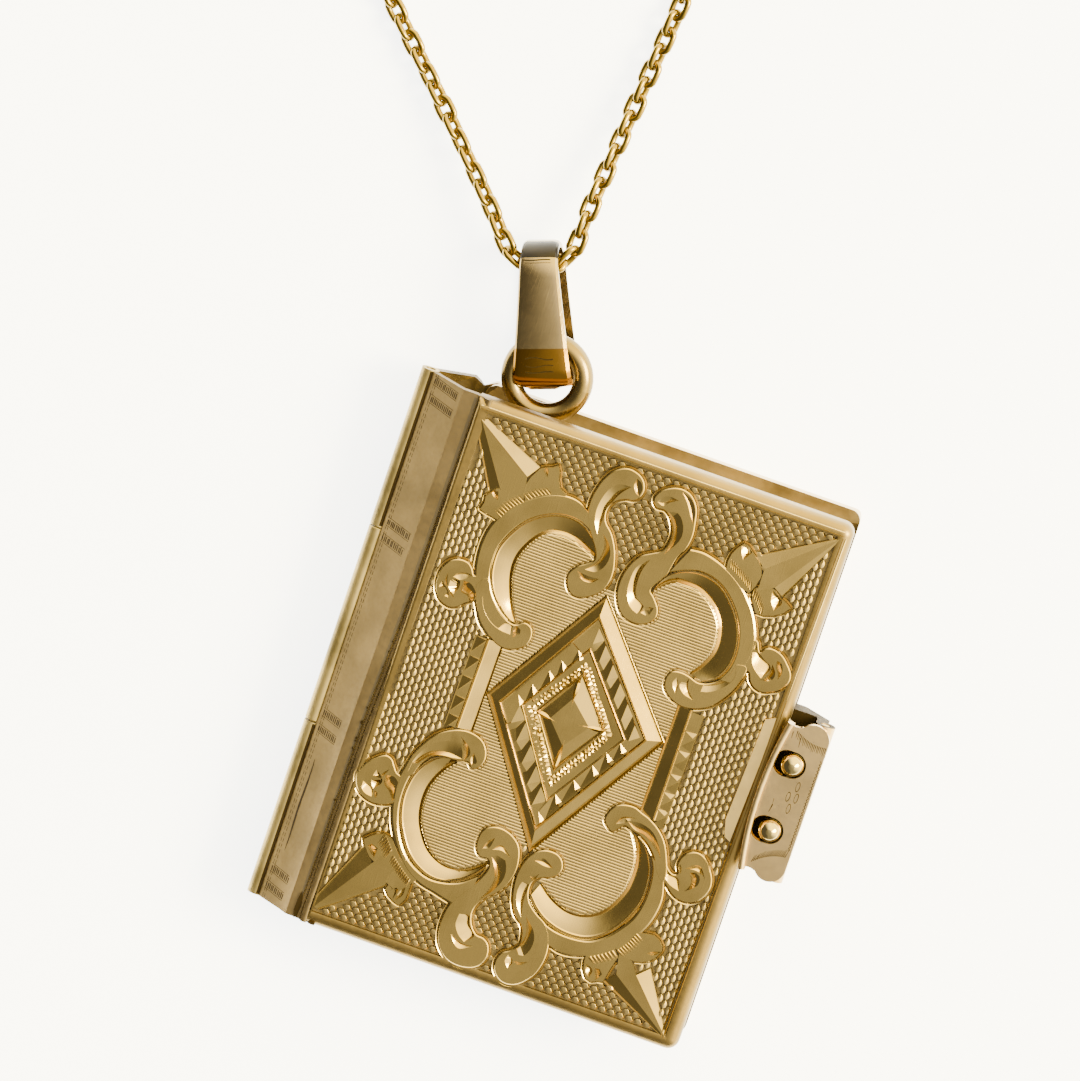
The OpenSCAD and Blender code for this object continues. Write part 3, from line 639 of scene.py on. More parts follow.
# Corner darts: a flat middle and two facets that sink outwards to thin walls
DART_LOW = 4.80
DART_TIP = 4.86
DART_TOP = TOP - 0.01
darts = [
    # tip, outer base, inner base, middle points, inner base, outer base, tip's other side
    ((65, -36), (101, -98), (112, -92), [(122, -92), (138, -100)], (133, -71), (142, -58), (77, -31)),
    ((447, -24), (373, -69), (386, -78), [(387, -100)], (402, -92), (413, -99), (447, -26)),
    ((71, -546), (103, -472), (117, -486), [(127, -470), (146, -478), (137, -492)], (137, -500),
     (139, -503), (82, -549)),
    ((455, -554), (376, -520), (386, -508), [(381, -486), (396, -490)], (405, -502), (417, -491),
     (456, -553)),
]
dart_outlines = []
dart_shape = Shape()
for tip, outer_l, inner_l, middle, inner_r, outer_r, tip_r in darts:
    corners = [(*tip, DART_TIP), (*outer_l, DART_LOW)]
    corners += [(*place, DART_TOP) for place in (inner_l, *middle, inner_r)]
    corners += [(*outer_r, DART_LOW), (*tip_r, DART_TIP)]
    crest = ((tip[0] + tip_r[0]) / 2, (tip[1] + tip_r[1]) / 2, 4.92)
    n = len(corners)
    facets(dart_shape, corners + [crest], [(0, 1, 2, n), (n, n - 3, n - 2, n - 1), (*range(2, n - 2), n)])
    outline = at([corner[:2] for corner in corners])
    wall_top = np.c_[outline, [corner[2] for corner in corners]]
    dart_shape.strips([wall_top, flat(outline, BASE)], closed=True)
    dart_outlines.append(outline)
    for a, b in ((tip, outer_l), (tip_r, outer_r)):
        ridge(scrolls, np.linspace(*at([a, b]), 24), 0.07, BASE, GROUND + 0.03)
covered.extend(dart_outlines)
dart_shape.piece("cover_darts", LOCKET, smooth=3, steep=SHADED_WALL)

scroll_piece = scrolls.piece("cover_scrolls", LOCKET, smooth=14, steep=SHADED_WALL)
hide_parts("front_leaf")
engraved.piece("cover_engraved", GRIME_AND_SHADE)
hatch_shadows.piece("cover_hatch_shadows", SHADE)

# Diamond: V-cut frame, saw-tooth row, beaded band, inner frame and its darts
centre = Shape()
OUTER = [(248, -156), (351, -274), (262, -422), (168.5, -288)]
INNER = [(248, -180), (332, -278), (259.6, -397), (184, -291)]
TEETH_IN = [(250, -213), (312, -285), (261, -367), (206, -286)]
BEADS_IN = [(252, -237), (291, -283), (257, -336), (222, -287)]
CORE = [(251, -263), (276, -285), (257, -311), (236, -289)]
HIGH = 4.925
LOW = 4.815


def frame_of(outer, inner, profile):
    """A diamond ring with a section of places from outer to inner line, and heights."""
    a = at(outer)
    b = at(inner)
    centre.strips([flat(a + (b - a) * t, z) for t, z in profile], closed=True)


frame_of(OUTER, INNER, [(-0.06, BASE), (-0.06, 4.86), (0.0, 4.90), (0.13, 4.74), (0.86, 4.955), (0.90, 4.91),
                        (0.95, 4.96), (1.0, 4.91), (1.04, 4.86), (1.04, BASE)])
frame_of(INNER, TEETH_IN, [(0.9, BASE), (0.9, 4.86), (0.95, 4.93), (1.0, 4.88), (1.0, BASE)])
frame_of(TEETH_IN, BEADS_IN, [(0.0, 4.90), (0.06, 4.85), (0.5, 4.83), (0.52, 4.80), (1.0, 4.80)])
frame_of(BEADS_IN, CORE, [(-0.1, 4.82), (0.0, 4.94), (0.07, 4.90), (0.12, 4.80), (1.0, 4.95)])
frame_of(INNER, TEETH_IN, [(0.0, LOW - 0.02), (1.0, LOW - 0.02)])
centre.add(flat(at(CORE), 4.95), [(3, 2, 1, 0)])
covered.append(at(OUTER) - (at(INNER) - at(OUTER)) * 0.08)


# Teeth between the frame and the inner line: a steep bright face each, with gentle dark ones between
def nearest(point, line):
    """The closest point of a straight line."""
    a, b = (np.array(end, float) for end in line)
    t = np.dot(np.array(point) - a, b - a) / np.dot(b - a, b - a)
    return tuple(a + (b - a) * min(1.0, max(0.0, t)))


def moved(point, step):
    return (point[0] + step[0], point[1] + step[1])


wide_teeth = [
    # places of the ridge's upper end, steps to the low corner and to the ridge's lower end, far line
    ([(251.7, -188.5), (263.6, -202.5), (277, -218), (290, -233), (304, -250), (318, -267.5)],
     (8.8, -10.2), (-0.7, -17), ((250, -210), (315, -284))),
    ([(203, -287), (214.5, -302), (227, -321), (239.2, -339), (250.8, -356.8)],
     (10, -12.5), (-2.5, -20), ((184, -291), (259.6, -397))),
]
for tops, low_step, ridge_step, far_line in wide_teeth:
    before = None
    for top in tops:
        low_corner = moved(top, low_step)
        foot = moved(top, ridge_step)
        facets(centre, [(*top, HIGH), (*low_corner, LOW), (*foot, HIGH)], [(0, 1, 2)])
        if before:
            old_low, old_foot = before
            hollow = moved(top, (-7.5, -8.5))
            corners = [(*top, HIGH), (*foot, HIGH), (*hollow, LOW), (*old_low, LOW), (*old_foot, HIGH),
                       (*nearest(old_foot, far_line), 4.86), (*nearest(hollow, far_line), 4.84),
                       (*nearest(foot, far_line), 4.86)]
            facets(centre, corners, [(0, 3, 2), (0, 2, 1), (3, 4, 2), (4, 5, 6, 2), (2, 6, 7, 1)])
        before = (low_corner, foot)
narrow_teeth = [
    # places of the wedge's tip, far line, near line
    ([(239.5, -216), (227.5, -231.5), (219, -245), (207.5, -263.5), (198, -278)],
     ((247, -184), (186, -291)), ((249, -214), (206, -286))),
    ([(310.5, -289.2), (300.3, -302.2), (291.8, -319.2), (279, -338.9), (266.2, -358.5), (256.8, -381.5)],
     ((311, -286), (261, -366)), ((331, -279), (261, -394))),
]
for tips, far_line, near_line in narrow_teeth:
    before = None
    for tip in tips:
        low_corner = moved(tip, (8.5, -6))
        high_corner = moved(tip, (5, -9.5))
        facets(centre, [(*tip, 4.90), (*low_corner, LOW), (*high_corner, HIGH)], [(0, 1, 2)])
        if before:
            old_tip, old_high = before
            corners = [(*old_tip, 4.90), (*old_high, HIGH), (*low_corner, LOW), (*tip, 4.90),
                       (*nearest(tip, far_line), 4.89), (*nearest(old_tip, far_line), 4.89),
                       (*nearest(old_high, near_line), 4.90), (*nearest(low_corner, near_line), 4.86)]
            facets(centre, corners, [(0, 1, 2), (0, 2, 3), (0, 3, 4, 5), (1, 6, 7, 2)])
        before = (tip, high_corner)

# Bars at both sides: upper end, lower end, inner edge; and their section
bars = [((153, -236), (153, -329), 167), ((364, -234), (366, -350), 352)]
bar_section = ((-0.25, BASE), (-0.25, 4.93), (-0.18, 4.97), (-0.12, 4.92), (-0.06, 4.975), (0, 4.95),
               (0.88, 4.76), (1.0, 4.87), (1.03, 4.84), (1.03, BASE))
for top, bottom, wall in bars:
    a = at([top, bottom])
    b = at([(wall, top[1]), (wall, bottom[1])])
    centre.strips([flat(a + (b - a) * t, z) for t, z in bar_section])
    covered.append(np.vstack([a + (a - b) * 0.25, b[::-1]]))

# Saw-tooth strips beside the bars: flat ground, outer edge line and wedges
STRIP_Z = 4.93
FOOT_Z = STRIP_Z + 0.004
WEDGE_Z = STRIP_Z + 0.10
RIGHT_Z = 5.0
left_teeth = (-236.5, -257.0, -277.8, -299.0, -318.5)
right_teeth = (-255.6, -276.1, -300.6, -320.0, -337.8)
for inner, outer, first, last in ((150, 138, -236, -330), (367, 380, -236, -350)):
    land = [(inner, first), (outer, first), (outer, last), (inner, last)]
    facets(centre, [(*corner, STRIP_Z) for corner in land], [(0, 1, 2, 3)])
    ridge(centre, np.linspace(*at(land[1:3]), 30), 0.09, BASE, 4.95)
    covered.append(at(land))
for v in left_teeth:
    corners = [(149.6, v - 1, WEDGE_Z), (139, v, FOOT_Z), (139, v - 16.0, FOOT_Z), (149.6, v - 1, STRIP_Z)]
    facets(centre, corners, [(0, 1, 2), (0, 2, 3), (0, 3, 1)])
for v in right_teeth:
    corners = [(367.8, v, RIGHT_Z), (379.5, v + 0.8, FOOT_Z), (376.8, v - 4.4, RIGHT_Z),
               (367.8, v, STRIP_Z), (376.8, v - 4.4, STRIP_Z)]
    facets(centre, corners, [(0, 2, 1), (0, 3, 4, 2), (0, 1, 3), (2, 4, 1)])
    facets(centre, [(368.5, v - 15.5, FOOT_Z), (379.3, v - 5.0, 4.962), (379.3, v - 18.5, 4.962)],
           [(0, 1, 2)])

# Slender darts inside the core
wide = np.array([0.15, 0.9, 1, 0.8, 0.55, 0.3, 0.02])
for tip, foot in (((250, -241), (252, -273)), ((292, -283), (265, -286)), ((257, -338), (257, -303)),
                  ((221, -287), (244, -291))):
    spike(centre, np.linspace(*at([tip, foot]), 7), wide, 0.13, 4.90, 4.96, 0.05)
centre.piece("cover_diamond", LOCKET, smooth=12, steep=SHADED_WALL)

# Rough grains of the diamond's band
GRAIN_LINE = np.array([(253, -228), (296, -288), (257, -352), (214, -284)], float)
GRAIN_STEP = 4.3
GRAIN_RING = ((-1, -1), (1, -1), (1.2, 0.2), (1, 1), (-1, 1), (-1.2, -0.2))
GRAIN_LEAN = (1.6, 0.0, -1.6, 0.0)
grains = Shape()
for a, b, lean in zip(GRAIN_LINE, np.roll(GRAIN_LINE, -1, axis=0), GRAIN_LEAN):
    count = int(np.linalg.norm(b - a) / GRAIN_STEP)
    way = unit(b - a)
    out = left_of(way)
    for k in range(count):
        for row in (-1, 1):
            middle = a + (b - a) * (k + 0.5 + 0.3 * row) / count + out * 2.2 * row
            corners = []
            for along, across in GRAIN_RING:
                q = middle + way * along * 2.0 + out * across * 2.5 + rng.normal(0, 0.35, 2)
                corners.append((*q, 4.80))
            top = middle - out * lean + rng.normal(0, 0.6, 2)
            corners.append((*top, 4.885 + rng.normal(0, 0.018)))
            facets(grains, corners, [(m, (m + 1) % 6, 6) for m in range(6)])
grains.piece("cover_beads", LOCKET, smooth=8)

# Engine-turned ground: small mounds in rows near the ends, in wavy columns at the sides
X0, X1, Y0, Y1 = -9.13, 9.2, -13.42, 13.42
CELL_LONG, CELL_WIDE = 0.47, 0.284
FILL_LONG, FILL_WIDE = 1.05, 0.97
field = at((141, -130, 160, -108, 190, -104, 215, -110, 228, -130, 235, -150, 249, -150, 262, -150,
            275, -130, 300, -112, 330, -110, 362, -128, 378, -155, 376, -185, 365, -205, 358, -225,
            358, -345, 355, -355, 372, -380, 378, -410, 372, -445, 350, -470, 310, -475, 285, -455,
            270, -425, 262, -418, 250, -418, 238, -440, 210, -470, 180, -471, 150, -450, 134, -415,
            137, -380, 150, -345, 160, -340, 160, -230, 150, -205, 138, -180))
strip = at((438, -218, 450, -212, 447, -345, 440, -342, 435, -325))


def border_shift(y):
    """How far the ground's left edge lies off X0: the plain border narrows downwards."""
    return np.interp(y, [-13.4, -4.0, 2.0, 13.4], [-0.44, -0.36, -0.08, 0.08])


def open_ground(points, margin):
    """Points of the ground that no ornament covers."""
    keep = np.ones(len(points), bool)
    for outline in covered + [strip]:
        lo, hi = outline.min(axis=0) - 0.3, outline.max(axis=0) + 0.3
        index = np.where(np.all((points > lo) & (points < hi), axis=1) & keep)[0]
        if not len(index):
            continue
        grown = inset(outline, -margin) if len(outline) > 8 else outline
        keep[index[inside(points[index], grown)]] = False
    return keep


def at_ends(p):
    """True near the upper and lower edges, inside the corner darts."""
    x, y = p.T
    upper = np.interp(x, [-9.4, -6.3, 6.6, 9.4], [13.4, 10.2, 10.2, 13.3])
    lower = np.interp(x, [-9.4, -6.4, 6.4, 9.6], [-13.2, -9.9, -10.2, -13.4])
    reach = np.where(np.abs(x + 0.2) < 2.4, 7.0, 99.0)
    return (y > np.minimum(upper, reach)) | (y < np.maximum(lower, -reach))


def steps(start, stop, step):
    """Places from start in even steps, as long as they lie before stop."""
    places = []
    while (start < stop) if step > 0 else (start > stop):
        places.append(start)
        start += step
    return places


CELL_RING = [(-1.0, -0.3), (-0.55, 0.66), (0.0, 1.0), (0.55, 0.9), (1.0, 0.3), (0.55, -0.66), (0.0, -1.0),
             (-0.55, -0.9)]
CELL_FACES = [(k, (k + 1) % 8, 8 + (k + 1) % 8, 8 + k) for k in range(8)]
CELL_FACES += [(8, 9, 16), (9, 10, 16), (10, 17, 16), (10, 11, 17), (11, 12, 17), (12, 13, 17), (13, 14, 17),
               (14, 16, 17), (14, 15, 16), (15, 8, 16)]


def cell(shape, x, y, top, way, slant):
    """One lens of the engine-turned ground: a blunt ridge with a steep wall round it."""
    long_way = np.array(way)
    wide_way = -left_of(long_way)
    points = []
    for grow, drop in ((1.0, None), (0.9, 0.014)):
        for a, b in CELL_RING:
            q = (long_way * a * 0.5 * CELL_LONG * FILL_LONG * grow
                 + wide_way * (b + slant * a) * 0.5 * CELL_WIDE * FILL_WIDE * grow)
            z = BASE if drop is None else top - drop - 0.42 * max(0.0, q[0])
            points.append((x + q[0], y + q[1], z))
    for a, b in ((-0.5, -0.15), (0.45, 0.1)):
        q = long_way * a * 0.5 * CELL_LONG + wide_way * b * 0.5 * CELL_WIDE
        points.append((x + q[0], y + q[1], top))
    a, b, c = (np.array(points[k]) for k in (8, 10, 12))
    downwards = np.cross(b - a, c - a)[2] < 0
    shape.add(points, [face[::-1] for face in CELL_FACES] if downwards else CELL_FACES)


ground = Shape()
side_points = []
end_points = []
for number, x in enumerate(steps(X0 + 0.14 - 2 * CELL_WIDE, X1 - 0.05, CELL_WIDE)):
    first = Y0 + 0.1 + (CELL_LONG / 2 if number % 2 else 0.0)
    side_points += [(x, y) for y in steps(first, Y1 - 0.05, CELL_LONG)]
for number, y in enumerate(steps(Y1 - 0.2, Y0 + 0.1, -CELL_WIDE)):
    first = X0 + 0.15 - CELL_LONG + (CELL_LONG / 2 if number % 2 else 0.0)
    end_points += [(x, y) for x in steps(first, X1 - 0.1, CELL_LONG)]
for places, near_ends, margin, way, slant in ((end_points, True, 0.12, (1.0, 0.0), 0.0),
                                              (side_points, False, 0.1, (0.0, -1.0), -0.35)):
    p = np.array(places)
    p = p[p[:, 0] > X0 + border_shift(p[:, 1]) + margin]
    p = p[(at_ends(p) == near_ends) & open_ground(p, 0.12) & ~inside(p, field)]
    for px, py in p:
        cell(ground, px, py, GROUND + rng.normal(0, 0.004), way, slant)

# The graver's groove round every raised shape: its outer lip
LIP_FROM, LIP_CREST, LIP_TO = 0.03, 0.12, 0.15
LONGEST_LIP = 0.4
lips = Shape()
for k, outline in enumerate(covered):
    if len(outline) < 9:
        continue
    foot, crest, low = (inset(outline, -by) for by in (LIP_FROM, LIP_CREST, LIP_TO))
    hidden = np.zeros(len(outline), bool)
    for m, other in enumerate(covered):
        if m != k:
            hidden |= inside(crest, other)
    for i in range(len(outline)):
        q = (i + 1) % len(outline)
        if not hidden[i] and not hidden[q] and math.dist(outline[i], outline[q]) <= LONGEST_LIP:
            lips.strips([np.array([(*line[i], z), (*line[q], z)]) for line, z in
                         ((foot, BASE), (foot, GROUND - 0.025), (crest, GROUND + 0.03), (low, BASE))])
lips.piece("cover_lips", LIP_GOLD, smooth=25, steep=SHADED_WALL)
ground.piece("cover_ground", GROUND_GOLD, smooth=35, steep=SHADED_WALL)

# Finely lined field round the diamond
lines = Shape()
across = np.arange(-6.2, 6.2, 0.04)
for y in np.arange(-9.75, 9.4, 0.152):
    row = np.stack([across, np.full(len(across), y)], 1)
    free = inside(row, field) & open_ground(row, 0.02)
    ends = np.flatnonzero(np.diff(np.r_[False, free, False]))
    for start, stop in ends.reshape(-1, 2):
        if stop - start > 3:
            line = row[[start, stop - 1]]
            top = GROUND + 0.015 + rng.normal(0, 0.003)
            lines.strips([flat(line + (0, half), top - drop) for half, drop in
                          ((0.07, 0.014), (0.03, 0.0), (-0.03, 0.0), (-0.07, 0.014))])
lines.piece("cover_lines", FIELD_GOLD, smooth=8)

# Filed flat strip beside the clasp, in a lighter gold that is part bare filed metal and part painted
# highlight, the border's engraved lines and the bed under the ground
filed = Shape()
pad(filed, strip, GROUND + 0.03, bevel=0.02)
filed.piece("cover_strip", STRIP_GOLD, smooth=20)
edge = Shape()
for outline in ((66, -20, 449, -18), (66, -23, 449, -22), (449, -24, 449, -553), (452, -24, 452, -553)):
    ridge(edge, smooth(outline, 60), 0.07, RIM - 0.03, RIM + 0.02)
# The bed shows between the ground's cells in the darker gold: painted shade
bed = Shape()
bed.strips([np.array([(x, y, BASE + 0.012) for y in (Y0, Y1)]) for x in (X0 - 0.44, X1)])
bed.piece("cover_bed", SHADED_WALL)

# Front board: a rounded rim round the sunken ground
BOARD_LEFT, BOARD_RIGHT, BOARD_HALF = -9.7, 9.9, 14.1


def rounded(x0, x1, half, right_r, left_r):
    """A rectangle with rounded corners."""
    corners = ((x1 - right_r, half - right_r, right_r), (x0 + left_r, half - left_r, left_r),
               (x0 + left_r, left_r - half, left_r), (x1 - right_r, right_r - half, right_r))
    points = []
    for number, (cx, cy, r) in enumerate(corners):
        for a in np.radians(90 * number + np.linspace(0, 90, 9)):
            points.append((cx + r * math.cos(a), cy + r * math.sin(a)))
    return np.array(points)


def board_rail(by, z):
    """The board's outline at a height, moved inwards."""
    corner = max(0.6 - by, 0.08)
    return flat(rounded(BOARD_LEFT + 0.4 * by, BOARD_RIGHT - by, BOARD_HALF - by, corner, 0.04), z)


board = Shape()
lower_rim = ((0.75, 4.36), (0.75, 3.86), (0.05, 3.85), (0.0, 3.9), (0.0, 4.42))
rim_rails = [board_rail(by, z) for by, z in lower_rim]
for a in np.radians(np.arange(15, 91, 15)):
    rim_rails.append(board_rail(0.5 - 0.5 * math.cos(a), 4.42 + 0.5 * math.sin(a)))
inner_edge = rounded(X0, X1, Y1, 0.08, 0.08)
inner_edge[:, 0] += np.where(inner_edge[:, 0] < 0, border_shift(inner_edge[:, 1]), 0.0)
rim_rails += [board_rail(0.62, RIM), flat(inner_edge, RIM - 0.01), flat(inset(inner_edge, 0.03), BASE - 0.01)]
board.strips(rim_rails, closed=True)
under = board_rail(0.75, 4.40)
board.add(under, [tuple(range(len(under)))])
board.piece("cover_board", RIM_GOLD, smooth=35)
edge.piece("cover_edge", LOCKET, smooth=20)

# Spine half of the front leaf: its section in X and Z, from the hinge to the cover
HINGE_X, HINGE_Z = -12.55, 2.46
SPINE_HALF = 14.08
JOINT_X = -10.6
spine_top = [(-12.05, HINGE_Z + 0.1), (-12.36, HINGE_Z + 0.42), (-12.31, HINGE_Z + 0.5),
             (-12.2, HINGE_Z + 0.62), (-11.7, 3.52), (-11.1, 4.05), (JOINT_X, 4.495), (-10.57, 4.52),
             (-10.3, 4.535), (-9.98, 4.54), (-9.82, 4.54), (-9.79, 4.64), (-9.77, 4.65), (-9.73, 4.59),
             (-9.58, 4.60), (-9.55, 4.70), (-9.53, 4.71), (-9.49, 4.66), (-9.44, 4.84), (-9.3, 4.89),
             (-9.2, 4.9), (-9.13, 4.87), (-9.12, 4.7)]
rising_x, rising_z = zip(*spine_top[1:])


def on_spine(px):
    return np.interp(px, rising_x, rising_z)


def leaned(px, py):
    """Spine places near the cover lean outwards towards the lower end, as the ground's border does."""
    share = min(1.0, max(0.0, (px + 11.0) / 1.6))
    return px + float(border_shift(py)) * share


spine = Shape()
spine_y = np.linspace(-SPINE_HALF, SPINE_HALF, 40)
spine.strips([np.array([(leaned(px, y), y, pz) for y in spine_y]) for px, pz in spine_top])
for y in (-SPINE_HALF, SPINE_HALF):
    spine.strips([np.array([(px, y, pz) for px, pz in spine_top]),
                  np.array([(px, y, max(pz - 0.45, 2.6)) for px, pz in spine_top])])
spine_piece = spine.piece("spine_front", SPINE_GOLD, smooth=30)
# Flat faces by the cover take the lighter spine gold, sloping faces the darker: a lit and a shaded copy of
# one gold
spine_piece.data.materials.append(SPINE_FLAT)
for face in spine_piece.data.polygons:
    if face.center.x > JOINT_X * MM and face.normal.z ** 2 > 0.8:
        face.material_index = 1

# Middle knuckle of the cover's hinge
angles = np.linspace(0, TURN, 28, endpoint=False)
knuckle = Shape()
knuckle.wrap([np.stack([HINGE_X + r * np.cos(angles), np.full(28, y), HINGE_Z + r * np.sin(angles)], 1)
              for y, r in ((-4.71, 0.05), (-4.71, 0.42), (-4.68, 0.45), (5.63, 0.45), (5.66, 0.42),
                           (5.66, 0.05))])
knuckle.piece("front_knuckle", KNUCKLE_GOLD, smooth=30)


# Frame pieces that keep their CAD shape
def dress(node, *materials):
    mesh = nodes[node].data
    mesh.materials.clear()
    for material in materials:
        mesh.materials.append(material)
    return mesh


def back_finish(px, py, pz, normal):
    """The finish of one place on the back leaf; some finishes are painted shade."""
    if px < -12.05 and abs(pz - HINGE_Z) < 0.47:
        return KNUCKLE_GOLD
    if py > 13.45 and pz > 1.7:
        return RING_GOLD
    if px > 9.5 and pz > 1.5:
        # Faces of the clasp bracket that turn neither up nor to the right are near-black: painted shade
        return CLASP_GOLD if (normal.z > 0.5 and pz > 4.1) or normal.x > 0.6 else DARK
    if px < -9.7 and pz < 2.4 and abs(py) > 13.3:
        return PAGE_GOLD
    if px < -9.6 and pz < 2.6:
        return SPINE_GOLD
    if px > -6.5 and abs(py) > 12.6 and pz > 1.05:
        return SIDE_GOLD
    return PAGE_GOLD if pz > 1.05 else LOCKET


back_finishes = [LOCKET, SPINE_GOLD, KNUCKLE_GOLD, PAGE_GOLD, RING_GOLD, CLASP_GOLD, DARK, SIDE_GOLD]
for face in dress("back_leaf", *back_finishes).polygons:
    face.material_index = back_finishes.index(back_finish(*(face.center / MM), face.normal))
dress("clasp_plate", CLASP_GOLD)
dress("hinge_pin", KNUCKLE_GOLD)
dress("clasp_pin", KNUCKLE_GOLD)
dress("chain_clasp", CHAIN_GOLD)


# Bright balls of the studs, and bright sloping rims at the lip's side of the plate's two slots
def arc(x, y, z, radius, turn):
    return np.stack([x + radius * np.cos(turn), y + radius * np.sin(turn), np.full(len(turn), z)], 1)


STUD_X, STUD_Z, STUD_R = 10.75, 5.15, 0.606
STUD_Y = (1.85, -1.65)
SLOT_X = 10.45
angles = np.linspace(0, TURN, 32, endpoint=False)
studs = Shape()
slot_rims = Shape()
for by in STUD_Y:
    rails = [arc(STUD_X, by, STUD_Z + STUD_R * math.sin(a), STUD_R * math.cos(a), angles)
             for a in np.arange(-5, 6) * TURN / 24]
    studs.strips(rails, closed=True)
    studs.add([(STUD_X, by, STUD_Z + STUD_R), *rails[-1]], [(0, 1 + k, 1 + (k + 1) % 32) for k in range(32)])
    slot_rims.strips([arc(SLOT_X, by, z, radius, np.linspace(TURN / 4, TURN * 3 / 4, 25))
                      for radius, z in ((0.70, 5.284), (0.64, 5.24), (0.575, 5.10))])
studs.piece("stud_balls", BALL_GOLD, "back", smooth=60)
slot_rims.piece("slot_rims", BALL_GOLD, "clasp", "clasp_gold", smooth=60)

# Worn marks on the clasp plate: strokes, punched ovals, cracks and a serrated line
PLATE_TOP = 5.287
plate_marks = Shape()


def on_plate(points):
    return flat(at(points) + (0.0, 0.085), PLATE_TOP)


def plate_stroke(a, b, width):
    """A stroke between two grid places that narrows towards its end."""
    a, b = on_plate([a, b])
    side = np.append(left_of(unit((b - a)[:2])) * width / 2, 0)
    plate_marks.strips([np.array([a + side * way, b + side * way * 0.3]) for way in (-1, 1)])


def oval(u, v, half_u, half_v, left=1.0):
    """A punched oval's outline; left is how full its left side is."""
    return [(u + half_u * math.cos(a) * (1 if math.cos(a) > 0 else left), v + half_v * math.sin(a))
            for a in np.linspace(0, TURN, 20, endpoint=False)]


for u, v in ((492.1, -270.6), (486.2, -282.8), (494.4, -281.9), (490.6, -294)):
    plate_marks.strips([on_plate(oval(u, v, 2.2, 5.2, 0.9)), on_plate(oval(u, v, 1.6, 4.3))], closed=True)
for a, b, width in (((473.6, -289), (474.4, -295), 0.03), ((474.4, -295), (473.1, -303.5), 0.06),
                    ((478, -223.5), (479, -233), 0.05), ((468.8, -220), (469.2, -227), 0.04)):
    plate_stroke(a, b, width)
for start, end, length, lean in (((473, -218), (505, -225), -7.5, 0.6), ((474, -356), (504, -341), 7.5, 1.6)):
    for t in np.linspace(0, 1, 20):
        bow = 3.2 * math.sin(math.pi * t) * (-1 if length > 0 else 1)
        u = start[0] + (end[0] - start[0]) * t
        v = start[1] + (end[1] - start[1]) * t - bow
        plate_stroke((u, v), (u + lean + rng.normal(0, 0.2), v + length + rng.normal(0, 0.6)), 0.045)
for v in np.arange(-239, -331, -3.4):
    plate_stroke((504.4, v), (506.2, v - 1.6), 0.06)
    plate_stroke((506.2, v - 1.6), (504.6, v - 3.2), 0.05)
plate_marks.piece("clasp_marks", DARK, "clasp", "clasp_gold")

# Bail: a bent strap with a flat middle facet and two bevels
BAIL_AT = np.array([-7.0, 15.2])
BAIL_COS, BAIL_SIN = math.cos(math.radians(20)), math.sin(math.radians(20))
BAIL_FACE_Z = 3.536
TOP_FROM, AMBER_TO = 6.45, 2.15
NECK_LOW, NECK_HIGH = 1.8, 3.12
# Four bends: centre along, centre height, radius, first and last angle, steps
bail_bends = ((5.55, 1.95, 1.55, 90, 0, 12), (5.55, 1.60, 1.55, 0, -90, 12),
              (0.92, 1.20, 1.15, -90, -180, 10), (0.92, 2.35, 1.15, 180, 90, 12))
# Section: share of the half width, and drop below the outer face
bail_section = ((-1.0, 0.15), (-0.93, 0.06), (-0.78, 0.0), (0.66, 0.0), (0.88, 0.04), (1.0, 0.16),
                (1.0, 0.36), (-1.0, 0.36))


def bail_place(s, w, z):
    """A place given along and across the bail's direction."""
    return (BAIL_AT[0] + w * BAIL_COS - s * BAIL_SIN, BAIL_AT[1] + w * BAIL_SIN + s * BAIL_COS, z)


def bail_path():
    """Stations round the strap: place along, height, outward direction."""
    stations = []
    for s0, z0, r, first, last, n in bail_bends:
        for a in np.radians(np.linspace(first, last, n + 1)):
            stations.append(np.array([s0 + r * math.cos(a), z0 + r * math.sin(a), math.cos(a), math.sin(a)]))
    full = []
    for here, ahead in zip(stations, stations[1:] + stations[:1]):
        gap = math.hypot(*(ahead - here)[:2])
        parts = int(gap / 0.35) if gap > 0.5 else 1
        full += [here + (ahead - here) * m / parts for m in range(parts)]
    return full


bail = Shape()
rails = [[] for _ in bail_section]
for s, z, ds, dz in bail_path():
    half = 0.9 + 0.55 * min(1.0, max(0.0, (7.1 - s) / 6.6)) ** 1.25
    if s < 1.0 and NECK_LOW < z < NECK_HIGH:
        half += (0.84 - half) * min(1.0, min(z - NECK_LOW, NECK_HIGH - z) / 0.22)
    for rail, (w, drop) in zip(rails, bail_section):
        rail.append(bail_place(s - ds * drop, w * half, z + 0.03 - dz * drop))
bail.wrap([np.array(rail) for rail in rails], loop=True)
bail_piece = bail.piece("bail_strap", BAIL_GOLD, "back", "bail_gold", smooth=24)
for material in (BAIL_TOP, BAIL_AMBER, RING_GOLD):
    bail_piece.data.materials.append(material)
for face in bail_piece.data.polygons:
    place = float(np.dot(np.array(face.center[:2]) / MM - BAIL_AT, (-BAIL_SIN, BAIL_COS)))
    if place > TOP_FROM and face.center.z > 2.0 * MM:
        face.material_index = 1
    elif place < AMBER_TO and face.normal.z > 0.35:
        face.material_index = 2
    elif place < AMBER_TO and face.center.z > 1.2 * MM:
        face.material_index = 3
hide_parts("bail")
amber_lines = Shape()
reach = np.linspace(-0.78, 0.62, 15)
for place, bow, half in ((0.82, 0.03, 0.035), (1.12, 0.05, 0.025), (1.5, -0.06, 0.035), (6.42, 0.02, 0.03)):
    wave = place + bow * np.sin(4.2 * reach)
    amber_lines.strips([np.array([bail_place(s + way * half, w, BAIL_FACE_Z) for s, w in zip(wave, reach)])
                        for way in (-1, 1)])
amber_lines.piece("bail_marks", DARK, "back", "bail_gold")

